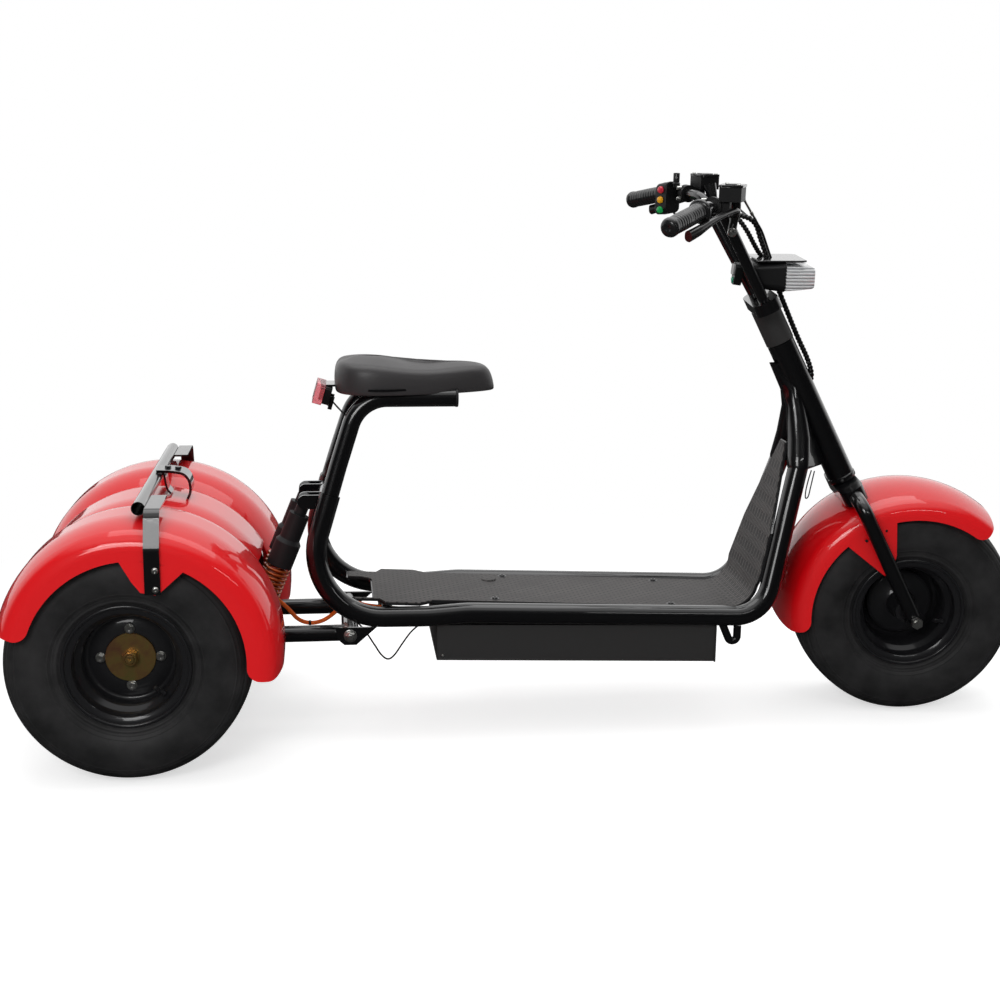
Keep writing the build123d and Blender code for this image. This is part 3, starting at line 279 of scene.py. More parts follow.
# The mould's grain, drawn at about 1.4 mm, coarser than it is, so that it shows.
grain = add(tree, "ShaderNodeTexNoise", {"Vector": at, "Scale": 700.0, "Detail": 3.0})
relief = add(tree, "ShaderNodeBump", {"Strength": 0.25, "Distance": 0.0006, "Height": grain.outputs["Fac"]})
skin_of_rubber = add(tree, "ShaderNodeBsdfPrincipled", {"Base Color": shade.outputs["Color"],
                                                        "Roughness": 0.62, "IOR": 1.5,
                                                        "Normal": relief.outputs["Normal"]})
add(tree, "ShaderNodeOutputMaterial", {"Surface": skin_of_rubber.outputs[0]})

STEPS = 320
for name, y, _ in REAR_WHEELS:
    tyre = skin(name + "_tyre_moulded", around(section, (REAR_X, y, TYRE_R), STEPS), rubber,
                name + "_wheel")
    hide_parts(name + "_tyre")
tyre = skin("front_tyre_moulded", around(section, FRONT_AXLE, STEPS), rubber, "front_wheel")
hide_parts("front_tyre")

# ---------------------------------------------------------------- rims
# Pressed steel rims in two rolled halves with a rounded lip, a drop centre and a dished disc, painted
# satin black; the paint is smooth enough to show soft rings of light.


def enamel(name, colour, roughness, coat, peel_mm):
    """Black or coloured paint: a base under a clear top coat, with a slight orange peel of a given size."""
    paint = new_finish(name)
    nodes = paint.node_tree
    where = add(nodes, "ShaderNodeTexCoord").outputs["Object"]
    peel = add(nodes, "ShaderNodeTexNoise", {"Vector": where, "Scale": 1000.0 / peel_mm, "Detail": 1.0})
    wavy = add(nodes, "ShaderNodeBump", {"Strength": 0.05, "Distance": 0.0005,
                                         "Height": peel.outputs["Fac"]})
    body = add(nodes, "ShaderNodeBsdfPrincipled", {
        "Base Color": linear(colour), "Roughness": roughness, "IOR": 1.5,
        "Specular IOR Level": 0.25, "Coat Weight": coat, "Coat Roughness": 0.03,
        "Normal": wavy.outputs["Normal"], "Coat Normal": wavy.outputs["Normal"]})
    add(nodes, "ShaderNodeOutputMaterial", {"Surface": body.outputs[0]})
    return paint


def dress(material, *names):
    """Gives CAD nodes their finish."""
    for node_name in names:
        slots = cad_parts[node_name].data.materials
        slots.clear()
        slots.append(material)


# Satin: the coat is thin, and the light spreads in soft rings round each roll of the rim.
satin_black = enamel("satin_black_stoved_enamel", "#1b1b1d", 0.36, 0.6, 2.0)


def rim_section(face, step_r, hole_r):
    """A rim's section as (width, radius), from the disc over the ledge to the rolled lip and back inside.

    face is where the disc's outer face lies, step_r the edge of its raised ring, hole_r its centre hole.
    """
    curl = np.radians(np.linspace(-110, 170, 15))
    lip = np.stack((0.0905 + 0.0036 * np.cos(curl), 0.1143 + 0.0036 * np.sin(curl)), -1)
    flange = [(0.0845, 0.0992), (0.0872, 0.1030), (0.0888, 0.1080)]
    ledge = [(face, hole_r), (face, step_r - 0.001), (face - 0.0022, step_r + 0.001),
             (face - 0.0025, step_r + 0.003), (face - 0.0015, 0.0815), (face + 0.0030, 0.0842),
             (face + 0.0100, 0.0850), (0.0540, 0.0858), (0.0580, 0.0880), (0.0630, 0.0965), (0.0670, 0.0983)]
    behind = [(-0.0670, 0.0983), (-0.0630, 0.0965), (-0.0580, 0.0880), (-0.0540, 0.0858),
              (face - 0.0120, 0.0850), (face - 0.0090, 0.0820), (face - 0.0085, step_r),
              (face - 0.0080, hole_r)]
    seat = [(0.0862, 0.1075), (0.0835, 0.1025), (0.0680, 0.1012), (0.0640, 0.0990), (0.0570, 0.0905),
            (0.0530, 0.0888)]
    outer_half = flange + lip.tolist() + seat
    inner_half = [(-w, r) for w, r in seat[::-1] + (flange + lip.tolist())[::-1]]
    return np.array(ledge + outer_half + inner_half + behind)


# The rear discs' outer faces lie this far outside the middle of the tyre, and the hub bolts sit on them.
DISC_FACE = 0.0325
for name, y, out in REAR_WHEELS:
    pressed = rim_section(DISC_FACE, 0.0752, 0.0468) * (out, 1)
    rim = skin(name + "_rim_pressed", around(pressed, (REAR_X, y, TYRE_R), 160), satin_black,
               name + "_wheel", smooth=50)
    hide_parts(name + "_rim")
rim = skin("front_rim_pressed", around(rim_section(0.0030, 0.0760, 0.0303) * (-1, 1), FRONT_AXLE,
                                       160), satin_black, "front_wheel", smooth=50)
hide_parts("front_rim")

# ---------------------------------------------------------------- hubs
# The rear hubs are turned steel, yellow passivated: gold with faint green and rose clouds.  The front
# axle is plain zinc plated steel, and the front hub is painted satin black.
yellow_zinc = new_finish("yellow_passivated_zinc")
tree = yellow_zinc.node_tree
at = add(tree, "ShaderNodeTexCoord").outputs["Object"]
clouds = add(tree, "ShaderNodeTexNoise", {"Vector": at, "Scale": 26.0, "Detail": 4.0, "Roughness": 0.55})
tints = add(tree, "ShaderNodeValToRGB", {"Fac": clouds.outputs["Fac"]})
tints.color_ramp.elements[0].position, tints.color_ramp.elements[0].color = 0.3, linear("#c08a68")
tints.color_ramp.elements[1].position, tints.color_ramp.elements[1].color = 0.7, linear("#b9b36a")
middle_tint = tints.color_ramp.elements.new(0.5)
middle_tint.color = linear("#d2ac6c")
turned = add(tree, "ShaderNodeTexNoise", {"Vector": at, "Scale": 900.0, "Detail": 2.0})
fine = add(tree, "ShaderNodeBump", {"Strength": 0.12, "Distance": 0.0004, "Height": turned.outputs["Fac"]})
plated = add(tree, "ShaderNodeBsdfPrincipled", {"Base Color": tints.outputs["Color"], "Metallic": 1.0,
                                               "Roughness": 0.38, "Normal": fine.outputs["Normal"]})
add(tree, "ShaderNodeOutputMaterial", {"Surface": plated.outputs[0]})

# Bright zinc: a pale bluish metal whose gloss varies with the plating, in spots of about 5 mm.
zinc = new_finish("bright_zinc_plated_steel")
tree = zinc.node_tree
at = add(tree, "ShaderNodeTexCoord").outputs["Object"]
dull = add(tree, "ShaderNodeTexNoise", {"Vector": at, "Scale": 220.0, "Detail": 3.0})
matt = add(tree, "ShaderNodeMapRange", {"Value": dull.outputs["Fac"], "To Min": 0.2, "To Max": 0.42})
plated = add(tree, "ShaderNodeBsdfPrincipled", {"Base Color": linear("#c8c8c4"), "Metallic": 1.0,
                                               "Roughness": matt.outputs[0]})
add(tree, "ShaderNodeOutputMaterial", {"Surface": plated.outputs[0]})
dress(zinc, "front_axle", "shock_feet")


def lathe(name, start, end, profile, material, body, steps=40, smooth=35, turned=True,
          ring=False):
    """A turned piece: (distance from start, radius) pairs in mm carried round the line from start to end.

    Six steps make a hexagon.  Where ring is True the profile closes on itself and the piece is a tube.
    """
    start, end = np.asarray(start, float), np.asarray(end, float)
    axis = (end - start) / np.linalg.norm(end - start)
    side = np.cross(axis, (0.31, 0.22, 0.93))
    side /= np.linalg.norm(side)
    t = np.linspace(0, 2 * np.pi, steps, endpoint=False)[None, :, None]
    far_and_wide = np.asarray(profile, float)[:, :, None, None] / 1000
    round_it = np.cos(t) * side + np.sin(t) * np.cross(axis, side)
    grid = start + far_and_wide[:, 0] * axis + far_and_wide[:, 1] * round_it
    return skin(name, grid, material, body, closed=(ring, True), smooth=smooth, turned=turned)


HUB_BOLTS = 0.055
for name, y, out in REAR_WHEELS:
    wheel = name + "_wheel"
    inner_end = np.array((REAR_X, out * 0.150, TYRE_R))
    outward = inner_end + (0, out * 0.1, 0)
    hub = lathe(name + "_hub_turned", inner_end, outward, [
        (0, 14.9), (90.7, 14.9), (91, 70), (99.2, 70), (99.7, 69.5), (99.7, 46.2), (111.4, 46.2),
        (112, 45.6), (112, 17), (112.6, 16.5), (113.6, 16.5)], yellow_zinc, wheel, steps=96)
    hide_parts(name + "_hub")
    lathe(name + "_hub_nut", inner_end + (0, out * 0.1136, 0), inner_end + (0, out, 0), [
        (0, 14.5), (0.6, 15.5), (7, 15.5), (8, 14.6)], yellow_zinc, wheel, steps=6)
    lathe(name + "_hub_castle", inner_end + (0, out * 0.1215, 0), inner_end + (0, out, 0), [
        (0, 12.2), (3.6, 12.2), (4.2, 11.6), (4.2, 9.4), (1.6, 9.0), (1.6, 8.4), (5.4, 8.2), (6, 7.6),
        (6, 2.6), (4.4, 1.2)], yellow_zinc, wheel, steps=48)
    for quarter in range(4):
        turn = quarter * np.pi / 2
        foot = np.array((REAR_X + HUB_BOLTS * np.cos(turn), y + out * DISC_FACE,
                         TYRE_R + HUB_BOLTS * np.sin(turn)))
        lathe(f"{name}_washer_{quarter}", foot, foot + (0, out, 0), [(0, 9.6), (1.3, 9.6), (1.6, 9.2)],
              zinc, wheel, steps=32)
        lathe(f"{name}_bolt_{quarter}", foot + (0, out * 0.0016, 0), foot + (0, out, 0), [
            (0, 8.3), (5.6, 8.3), (6.6, 7.0), (6.6, 4), (5.8, 2.5)], zinc, wheel, steps=6)

hub = lathe("front_hub_turned", FRONT_AXLE - (0, 0.118, 0), FRONT_AXLE + (0, 0.118, 0), [
    (0, 7.7), (0, 15), (3, 16), (34, 16), (36, 24), (66, 27), (84, 31), (90, 40), (93, 60), (95, 66.5),
    (98, 69), (114.6, 70), (114.9, 29.8), (121.1, 29.8), (121.4, 70), (138, 69), (141, 66.5), (143, 60),
    (146, 40), (152, 31), (170, 27), (200, 24), (202, 16), (233, 16), (236, 15), (236, 7.7)],
            satin_black, "front_wheel", steps=128)
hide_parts("front_hub")
# A short rubber valve stands in each rim, wherever its wheel has come to rest.
for name, centre, body, turn, out in (
        ("front", FRONT_AXLE, "front_wheel", -0.36, -1),
        ("rear_right", (REAR_X, -HALF_TRACK, TYRE_R), "rear_right_wheel", -0.80, -1),
        ("rear_left", (REAR_X, HALF_TRACK, TYRE_R), "rear_left_wheel", 2.2, 1)):
    to_rim = np.array((np.cos(turn), 0, np.sin(turn)))
    foot = np.asarray(centre) + 0.0872 * to_rim + (0, out * 0.0600, 0)
    lathe(name + "_valve", foot, foot - to_rim * 0.02 + (0, out * 0.012, 0), [
        (0, 6.2), (2.5, 5.8), (5, 4.2), (14, 3.8), (14.5, 4.4), (24, 4.4), (25, 3.6)], satin_black,
          body)

# ---------------------------------------------------------------- frame
# Round steel tube, bent and welded, with plates and brackets welded to it.  All of it is powder coated in a
# deep gloss black that flows smooth, so every tube carries sharp bright lines along its length.
gloss_black = enamel("gloss_black_powder_coat", "#08080a", 0.3, 1.0, 3.0)
dress(gloss_black, "side_tube_left", "side_tube_right", "seat_rails", "cross_members", "neck", "front_loop",
      "pivot_brackets", "swingarm", "shock_mounts", "rear_bar", "fender_straps", "seat_base", "fork",
      "handlebar", "headlight_bracket")
dress(satin_black, "rear_axle", "deck")

# ---------------------------------------------------------------- neck
# A steel head tube with a bead at its foot, and on each side a web welded between it and the side tube,
# coated with the frame.  A level of a web is the taut outline round two circles, one at each of its ends.


def between_circles(first, second, height, steps=72):
    """The taut outline round two circles (x, y, radius in mm), found by which reaches further each way."""
    t = np.linspace(0, 2 * np.pi, steps, endpoint=False)
    way = np.stack((np.cos(t), np.sin(t)), -1)
    reach = [way @ np.array(c[:2]) + c[2] for c in (first, second)]
    ends = [np.array(c[:2]) + c[2] * way for c in (first, second)]
    ring = np.where((reach[0] > reach[1])[:, None], ends[0], ends[1])
    return np.column_stack((REAR_X + ring[:, 0] / 1000, ring[:, 1] / 1000, np.full(steps, height / 1000)))


tube_way = np.array((-np.sin(RAKE), 0.0, np.cos(RAKE)))
head_tube = lathe("head_tube", FRONT_AXLE + 0.300 * tube_way, FRONT_AXLE + tube_way, [
    (0, 17), (0, 28.6), (1.5, 29.6), (10, 29.6), (12, 28), (326, 28), (327, 27), (327, 17)],
                  gloss_black, "chassis", steps=72, ring=True, turned=False)
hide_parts("neck")
for side in (-1, 1):
    levels = []
    for height, x, y, r, half in ((531, 1330, 59, 22.8, 10), (536, 1330, 58, 23.6, 11),
                                  (556, 1332, 50, 24, 12), (590, 1335, 36, 24, 13),
                                  (620, 1334, 25, 22.5, 13.5), (650, 1332, 15, 20, 14),
                                  (685, 1326, 7, 17, 14), (715, 1317, 2, 14, 13), (740, 1308, 0, 12, 12)):
        rear_of_tube = 1586 - np.tan(RAKE) * (height - 228.5) - 31
        levels.append(between_circles((x, side * y, r), (rear_of_tube, side * y * 0.12, half), height))
    skin(f"neck_web_{side + 1}", np.array(levels), gloss_black, "chassis",
         closed=(False, True), smooth=50)

# ---------------------------------------------------------------- deck mat
# A pressed rubber mat glued on the deck plate: rows of short raised dashes, 19 mm long and 8.5 mm apart,
# each row half a step on.  The dashes are mottled grey, and the hollows between them are painted darker as
# shade.
mat_rubber = new_finish("pressed_rubber_mat")
tree = mat_rubber.node_tree
at = add(tree, "ShaderNodeTexCoord").outputs["Object"]
dashes = add(tree, "ShaderNodeTexBrick", {"Vector": at, "Scale": 1.0, "Mortar Size": 0.003,
                                          "Mortar Smooth": 0.5, "Brick Width": 0.019,
                                          "Row Height": 0.0085, "Color1": WHITE, "Color2": WHITE,
                                          "Mortar": linear("#000000")}, offset=0.5)
worn = add(tree, "ShaderNodeTexNoise", {"Vector": at, "Scale": 9.0, "Detail": 5.0})
shade = add(tree, "ShaderNodeValToRGB", {"Fac": worn.outputs["Fac"]})
shade.color_ramp.elements[0].position, shade.color_ramp.elements[0].color = 0.3, linear("#4a4746")
shade.color_ramp.elements[1].position, shade.color_ramp.elements[1].color = 0.7, linear("#605c5a")
# The hollows between the dashes get a painted shade, darker than the rubber on the dashes.
deep = add(tree, "ShaderNodeMix", {0: dashes.outputs["Color"], 6: linear("#2f2d2d"),
                                   7: shade.outputs["Color"]}, data_type="RGBA")
relief = add(tree, "ShaderNodeBump", {"Strength": 0.8, "Distance": 0.0012,
                                      "Height": dashes.outputs["Color"]})
top = add(tree, "ShaderNodeBsdfPrincipled", {"Base Color": deep.outputs[2], "Roughness": 0.6,
                                            "Normal": relief.outputs["Normal"]})
add(tree, "ShaderNodeOutputMaterial", {"Surface": top.outputs[0]})
dress(mat_rubber, "deck_mat")


def from_axle(ahead, side, height):
    """A point given in millimetres ahead of the rear axle, to the left and above the ground."""
    return np.array((REAR_X + ahead / 1000, side / 1000, height / 1000))


def slab(name, outline, offset, material, body, bevel_mm=0.8, turned=True):
    """A plate: a flat outline of points carried along an offset, with its edges broken by a small bevel."""
    outline = np.asarray(outline, float)
    piece = skin(name, np.stack((outline, outline + np.asarray(offset, float))), material, body,
                 closed=(False, True), smooth=30, turned=turned)
    edge = piece.modifiers.new("broken_edge", "BEVEL")
    edge.width, edge.segments = bevel_mm / 1000, 2
    edge.limit_method, edge.angle_limit = "ANGLE", np.radians(40)
    return piece


def rounded(centre, across, along, width, height, corner):
    """A rounded rectangle, sizes in mm: four quarter circles about its corners, in the plane of two ways."""
    across, along = (np.asarray(way, float) / np.linalg.norm(way) for way in (across, along))
    t = np.radians(np.concatenate([np.linspace(q, q + 90, 6) for q in (0, 90, 180, 270)]))
    diagonal = np.floor(t / (np.pi / 2) - 1e-9) * np.pi / 2 + np.pi / 4
    x = (np.sign(np.cos(diagonal)) * (width / 2 - corner) + corner * np.cos(t)) / 1000
    y = (np.sign(np.sin(diagonal)) * (height / 2 - corner) + corner * np.sin(t)) / 1000
    return np.asarray(centre, float) + x[:, None] * across + y[:, None] * along


# ---------------------------------------------------------------- deck fasteners
# Four domed socket screws of blackened steel hold the deck through the mat, and a flat rubber plug is
# pressed into the charging socket beside them.


def on_deck(ahead, side):
    """A point on the mat, whose top is 278.2 mm up at 580 mm ahead of the rear axle and falls 4.76 %."""
    return from_axle(ahead, side, 272 + 6.2 - 0.0476 * (ahead - 580))


for number, (ahead, side) in enumerate(((736, 88), (701, -84), (1066, 84), (1064, -92))):
    top = on_deck(ahead, side)
    lathe(f"deck_screw_{number}", top, top + (0, 0, 1), [(-1, 9), (0.8, 9), (1.2, 6.6), (3.2, 5.6),
                                                         (4.0, 4.0), (4.1, 2.4), (2.4, 2.2)],
          satin_black, "chassis")
cap_place = on_deck(703, 60)
lathe("charging_plug", cap_place, cap_place + (0, 0, 1), [(-1, 16), (1.6, 16), (2.6, 15), (3.0, 12),
                                                          (3.2, 3)], mat_rubber, "chassis")

# ---------------------------------------------------------------- battery box
# A folded sheet steel tray hung under the deck, with a lip turned round its foot, a flange at the front and
# a rivet near each rear corner.  Its fine textured powder coat reads dark grey rather than black.
textured_coat = new_finish("fine_textured_powder_coat")
tree = textured_coat.node_tree
at = add(tree, "ShaderNodeTexCoord").outputs["Object"]
orange_peel = add(tree, "ShaderNodeTexNoise", {"Vector": at, "Scale": 1100.0, "Detail": 2.0})
relief = add(tree, "ShaderNodeBump", {"Strength": 0.3, "Distance": 0.0004,
                                      "Height": orange_peel.outputs["Fac"]})
top = add(tree, "ShaderNodeBsdfPrincipled", {"Base Color": linear("#2c2b2b"), "Roughness": 0.58, "IOR": 1.5,
                                            "Normal": relief.outputs["Normal"]})
add(tree, "ShaderNodeOutputMaterial", {"Surface": top.outputs[0]})
dress(textured_coat, "battery_box", "steerer")
lip = np.array([from_axle(*corner) for corner in ((579.5, -126.2, 163), (1152.5, -126.2, 144),
                                                  (1152.5, -126.2, 140), (579.5, -126.2, 159))])
slab("box_folded_lip", lip, (0, 0.2524, 0), textured_coat, "chassis", 1.0)
flange = np.array([from_axle(*corner) for corner in ((1150.5, -127.5, 217), (1154, -127.5, 217),
                                                     (1154, -127.5, 139), (1150.5, -127.5, 139))])
slab("box_front_flange", flange, (0, 0.255, 0), textured_coat, "chassis", 0.8)
for side in (-1, 1):
    spot = from_axle(592, side * 125, 168)
    lathe(f"box_rivet_{side + 1}", spot, spot + (0, side, 0), [(-1, 2.6), (0.4, 2.6), (1.1, 1.6)],
          zinc, "chassis")

# ---------------------------------------------------------------- shock absorbers
# Each leg has a coil of round spring wire between its steel foot and its dark moulded sleeve; the wire is
# lacquered in a copper colour that glints.  The swingarm's pivot bolt shows its washer, nut and end outside.
copper_lacquer = enamel("copper_lacquered_spring_wire", "#b4501c", 0.3, 0.8, 2.0)
copper_lacquer.node_tree.nodes["Principled BSDF"].inputs["Metallic"].default_value = 0.6
dress(copper_lacquer, "shock_springs")
for side in (-1, 1):
    face = from_axle(408, side * 128.8, 216)
    lathe(f"pivot_washer_{side + 1}", face, face + (0, side, 0), [(0, 13), (2, 13), (2.4, 12.4)],
          zinc, "chassis")
    lathe(f"pivot_nut_{side + 1}", face + (0, side * 0.0024, 0), face + (0, side, 0), [
        (0, 10.6), (7, 10.6), (8.4, 9)], zinc, "chassis", steps=6)
    lathe(f"pivot_end_{side + 1}", face + (0, side * 0.0106, 0), face + (0, side, 0),
          [(0, 6), (2.6, 6), (3.4, 5)], zinc, "chassis", steps=24)

black_rubber = enamel("moulded_black_rubber", "#1c1c1e", 0.5, 0.0, 1.5)
dress(black_rubber, "shock_sleeves")

# ---------------------------------------------------------------- fenders
# Pressed steel fenders in deep gloss red, two coats of colour under a clear one that mirrors the lights.
# Two screws hold each strap on the rear one, and two small rivets show on the front one's near tab.
gloss_red = enamel("gloss_red_stoved_enamel", "#e4000c", 0.5, 1.0, 4.0)
dress(gloss_red, "rear_fender", "front_fender")
for side in (-1, 1):
    for height in (418, 383):
        head = from_axle(62, side * 352.5, height)
        lathe(f"strap_screw_{side + 1}_{height}", head, head + (0, side, 0), [
            (-2, 6.4), (0.8, 6.4), (2.6, 5.2), (3.4, 3.4), (3.4, 2.4), (1.6, 2.2)], zinc, "chassis",
              steps=24)
    for number, spot in enumerate((from_axle(1464, -117, 387), from_axle(1505, -117, 408))):
        if side < 0:
            lathe(f"fender_rivet_{number}", spot, spot + (0, -1, 0),
                  [(-2, 3), (0.8, 3), (1.6, 1.8)], black_rubber, "steering",
                  steps=20, turned=False)


def through(points, count=10):
    """A smooth line through points, the Catmull-Rom cubic, with count steps from each to the next."""
    p = np.asarray(points, float)
    p = np.vstack((2 * p[0] - p[1], p, 2 * p[-1] - p[-2]))
    s = np.linspace(0, 1, count, endpoint=False)[:, None]
    runs = [0.5 * (2 * b + (c - a) * s + (2 * a - 5 * b + 4 * c - d) * s**2 + (3 * b - a - 3 * c + d) * s**3)
            for a, b, c, d in zip(p, p[1:], p[2:], p[3:])]
    return np.vstack((*runs, p[-2][None]))


def strip(name, line, width, thickness, material, body):
    """A bent flat bar: a line in the middle plane made thick square to itself and wide sideways, in mm."""
    ways = np.gradient(line, axis=0)
    ways /= np.linalg.norm(ways, axis=1)[:, None]
    square = np.cross(ways, (0, 1, 0)) * thickness / 2000
    side = np.array((0, width / 2000, 0))
    grid = np.stack((line - square - side, line - square + side, line + square + side,
                     line + square - side), 1)
    return skin(name, grid, material, body, closed=(False, True), smooth=35)


# ---------------------------------------------------------------- bar bracket
# A flat steel bracket runs forward from the middle of the rear bar and bends down to the middle hump, with a
# second leg behind it.  Two nuts hold it, and it is coated black with the bar.
strip("bar_bracket", through([from_axle(ahead, 0, height) for ahead, height in (
    (32, 533), (48, 532.5), (66, 531), (83, 527), (93, 517), (97, 502), (96, 488), (91, 477))]), 56,
      5, gloss_black, "chassis")
strip("bar_bracket_leg", through([from_axle(ahead, 0, height) for ahead, height in (
    (44, 529), (47, 518), (49, 504), (52, 494), (58, 486.5))]), 40, 4, gloss_black, "chassis")
for ahead, height in ((52, 534.5), (72, 532.5)):
    foot = from_axle(ahead, 0, height)
    lathe(f"bracket_nut_{ahead}", foot, foot + (0.05, 0, 1), [(0, 6.2), (4, 6.2), (4.8, 5)],
          satin_black, "chassis", steps=6)

# ---------------------------------------------------------------- seat
# A moulded foam saddle in stretched black vinyl, crowned on top and tucked in under its edge.  The vinyl has
# a fine pebble grain, drawn at about 1.5 mm, and a soft sheen that changes from place to place.
vinyl = new_finish("grained_black_vinyl")
tree = vinyl.node_tree
at = add(tree, "ShaderNodeTexCoord").outputs["Object"]
pores = add(tree, "ShaderNodeTexVoronoi", {"Vector": at, "Scale": 650.0})
stretch = add(tree, "ShaderNodeTexNoise", {"Vector": at, "Scale": 12.0, "Detail": 4.0})
relief = add(tree, "ShaderNodeBump", {"Strength": 0.2, "Distance": 0.0004,
                                      "Height": pores.outputs["Distance"]})
sheen = add(tree, "ShaderNodeMapRange", {"Value": stretch.outputs["Fac"], "To Min": 0.36, "To Max": 0.5})
top = add(tree, "ShaderNodeBsdfPrincipled", {"Base Color": linear("#343233"), "Roughness": sheen.outputs[0],
                                            "IOR": 1.48, "Normal": relief.outputs["Normal"]})
add(tree, "ShaderNodeOutputMaterial", {"Surface": top.outputs[0]})
SEAT_LOW, SEAT_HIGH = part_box("seat")
SEAT_L = SEAT_HIGH.x - SEAT_LOW.x
# The outline from above is a rounded form, broad behind: x runs as a cosine raised to a power under one, the
# half width falls forward.  Rings of it are stacked up the side and drawn in over the top.
angle = np.linspace(0, 2 * np.pi, 192, endpoint=False)
cosine, sine = np.cos(angle), np.sin(angle)
s = 0.5 + 0.5 * np.sign(cosine) * np.abs(cosine) ** 0.66
half_w = 0.1165 - 0.067 * s**1.5
plan = np.stack((SEAT_LOW.x + 0.0008 + (SEAT_L - 0.0016) * s,
                 half_w * np.sign(sine) * np.abs(sine) ** 0.62), -1)
spine = np.stack((SEAT_LOW.x + 0.05 + (SEAT_L - 0.09) * s, 0 * s), -1)
foot = SEAT_LOW.z
rim_height = 0.0625 - 0.010 * np.exp(-(((s - 0.53) / 0.25) ** 2)) - 0.011 * s**2
rings = []
for inset, level in ((14, 0.055), (7, 0.0), (3, 0.012), (1.2, 0.07), (0.3, 0.2), (0, 0.36), (0.4, 0.52),
                     (1.4, 0.66), (3.2, 0.77), (6.5, 0.865), (11.5, 0.935), (18, 0.975), (26, 0.995)):
    inwards = spine - plan
    inwards /= np.linalg.norm(inwards, axis=1)[:, None]
    lean = 0.012 * np.clip((s - 0.8) / 0.2, 0, 1) ** 2 * level
    ring = plan + inwards * inset / 1000
    rings.append(np.column_stack((ring[:, 0] - lean, ring[:, 1], foot + rim_height * level)))
edge = rings[-1]
crown = 0.0066 * np.exp(-((s - 0.2) / 0.7) ** 2)
for share in (0.2, 0.42, 0.65, 0.85, 0.985):
    middle = np.column_stack((spine, foot + rim_height + crown))
    rise = np.sin(share * np.pi / 2)
    rings.append(np.column_stack((edge[:, :2] + share * (middle[:, :2] - edge[:, :2]),
                                  edge[:, 2] + rise * (middle[:, 2] - edge[:, 2]))))
saddle = skin("saddle", np.array(rings), vinyl, "chassis", closed=(False, True), smooth=80)
round_off = saddle.modifiers.new("smooth_cover", "SUBSURF")
round_off.levels = round_off.render_levels = 1
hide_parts("seat")
rail_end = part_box("seat_rails")[1]
for side in (-1, 1):
    mouth = np.array((rail_end.x, side * 0.068, rail_end.z - 0.0175))
    lathe(f"rail_plug_{side + 1}", mouth - (0.003, 0, 0), mouth + (1, 0, 0), [
        (0, 17.7), (0.6, 18.4), (4.4, 18.4), (5.4, 17.4), (5.6, 14)], black_rubber, "chassis")

# ---------------------------------------------------------------- lamps
# The tail lamp is a moulded acrylic lens over a red element.  The headlight has a clear polycarbonate lens,
# ribbed inside, snapped into a moulded black body that is screwed to its bracket.
red_lens = new_finish("moulded_red_acrylic")
tree = red_lens.node_tree
at = add(tree, "ShaderNodeTexCoord").outputs["Object"]
ribs = add(tree, "ShaderNodeTexWave", {"Vector": at, "Scale": 60.0}, bands_direction="Y")
relief = add(tree, "ShaderNodeBump", {"Strength": 0.5, "Distance": 0.001, "Height": ribs.outputs["Fac"]})
glassy = add(tree, "ShaderNodeBsdfPrincipled", {"Base Color": linear("#e8848c"), "Roughness": 0.12,
                                                "IOR": 1.49, "Transmission Weight": 0.75,
                                                "Normal": relief.outputs["Normal"]})
add(tree, "ShaderNodeOutputMaterial", {"Surface": glassy.outputs[0]})
black_plastic = enamel("moulded_black_abs", "#121213", 0.42, 0.0, 1.2)
reflex_red = enamel("red_reflector_acrylic", "#a8121c", 0.25, 1.0, 2.0)

# The tail lamp leans back under the saddle's tail: a black housing, a pink lens and a red element in it.
lamp_low, lamp_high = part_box("tail_lamp")
face_out = np.array((-0.96, 0, 0.28))
lamp_up = np.array((0.28, 0, 0.96))
lamp_mid = np.array(((lamp_low.x + lamp_high.x) / 2 - 0.002, 0, (lamp_low.z + lamp_high.z) / 2 + 0.009))
housing = slab("tail_lamp_housing", rounded(lamp_mid - 0.012 * face_out, (0, 1, 0), lamp_up, 78, 36, 5),
               0.014 * face_out, black_plastic, "chassis", 1.5)
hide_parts("tail_lamp")
slab("tail_lamp_element", rounded(lamp_mid + 0.0025 * face_out, (0, 1, 0), lamp_up, 60, 22, 4),
     0.008 * face_out, reflex_red, "chassis", 1.0)
slab("tail_lamp_lens", rounded(lamp_mid + 0.0022 * face_out, (0, 1, 0), lamp_up, 86, 42, 6),
     0.018 * face_out, red_lens, "chassis", 3.0)
for side in (-1, 1):
    slab(f"tail_lamp_ear_{side + 1}", rounded(lamp_mid - (0.001, side * -0.020, 0.014) - 0.010 * face_out,
                                              (0, 1, 0), lamp_up, 9, 26, 2), -0.008 * face_out,
         black_plastic, "chassis", 0.8)

clear_lens = new_finish("moulded_clear_polycarbonate")
tree = clear_lens.node_tree
at = add(tree, "ShaderNodeTexCoord").outputs["Object"]
ribs = add(tree, "ShaderNodeTexWave", {"Vector": at, "Scale": 48.0}, bands_direction="Z", wave_profile="SIN")
relief = add(tree, "ShaderNodeBump", {"Strength": 1.0, "Distance": 0.003, "Height": ribs.outputs["Fac"]})
# The lens's colour is painted pale, with dark lines along the ribs: painted light and shade of the ribbed
# plastic.
painted_rib_light_and_shade = add(tree, "ShaderNodeValToRGB", {"Fac": ribs.outputs["Fac"]})
painted_rib_light_and_shade.color_ramp.elements[0].position, painted_rib_light_and_shade.color_ramp.elements[0].color = 0.04, linear("#6a6f73")
painted_rib_light_and_shade.color_ramp.elements[1].position, painted_rib_light_and_shade.color_ramp.elements[1].color = 0.2, linear("#fbfcfd")
glassy = add(tree, "ShaderNodeBsdfPrincipled", {"Base Color": painted_rib_light_and_shade.outputs["Color"],
                                                "Roughness": 0.06, "IOR": 1.58,
                                                "Transmission Weight": 0.3,
                                                "Normal": relief.outputs["Normal"]})
add(tree, "ShaderNodeOutputMaterial", {"Surface": glassy.outputs[0]})
dress(black_plastic, "headlight", "brake_masters")


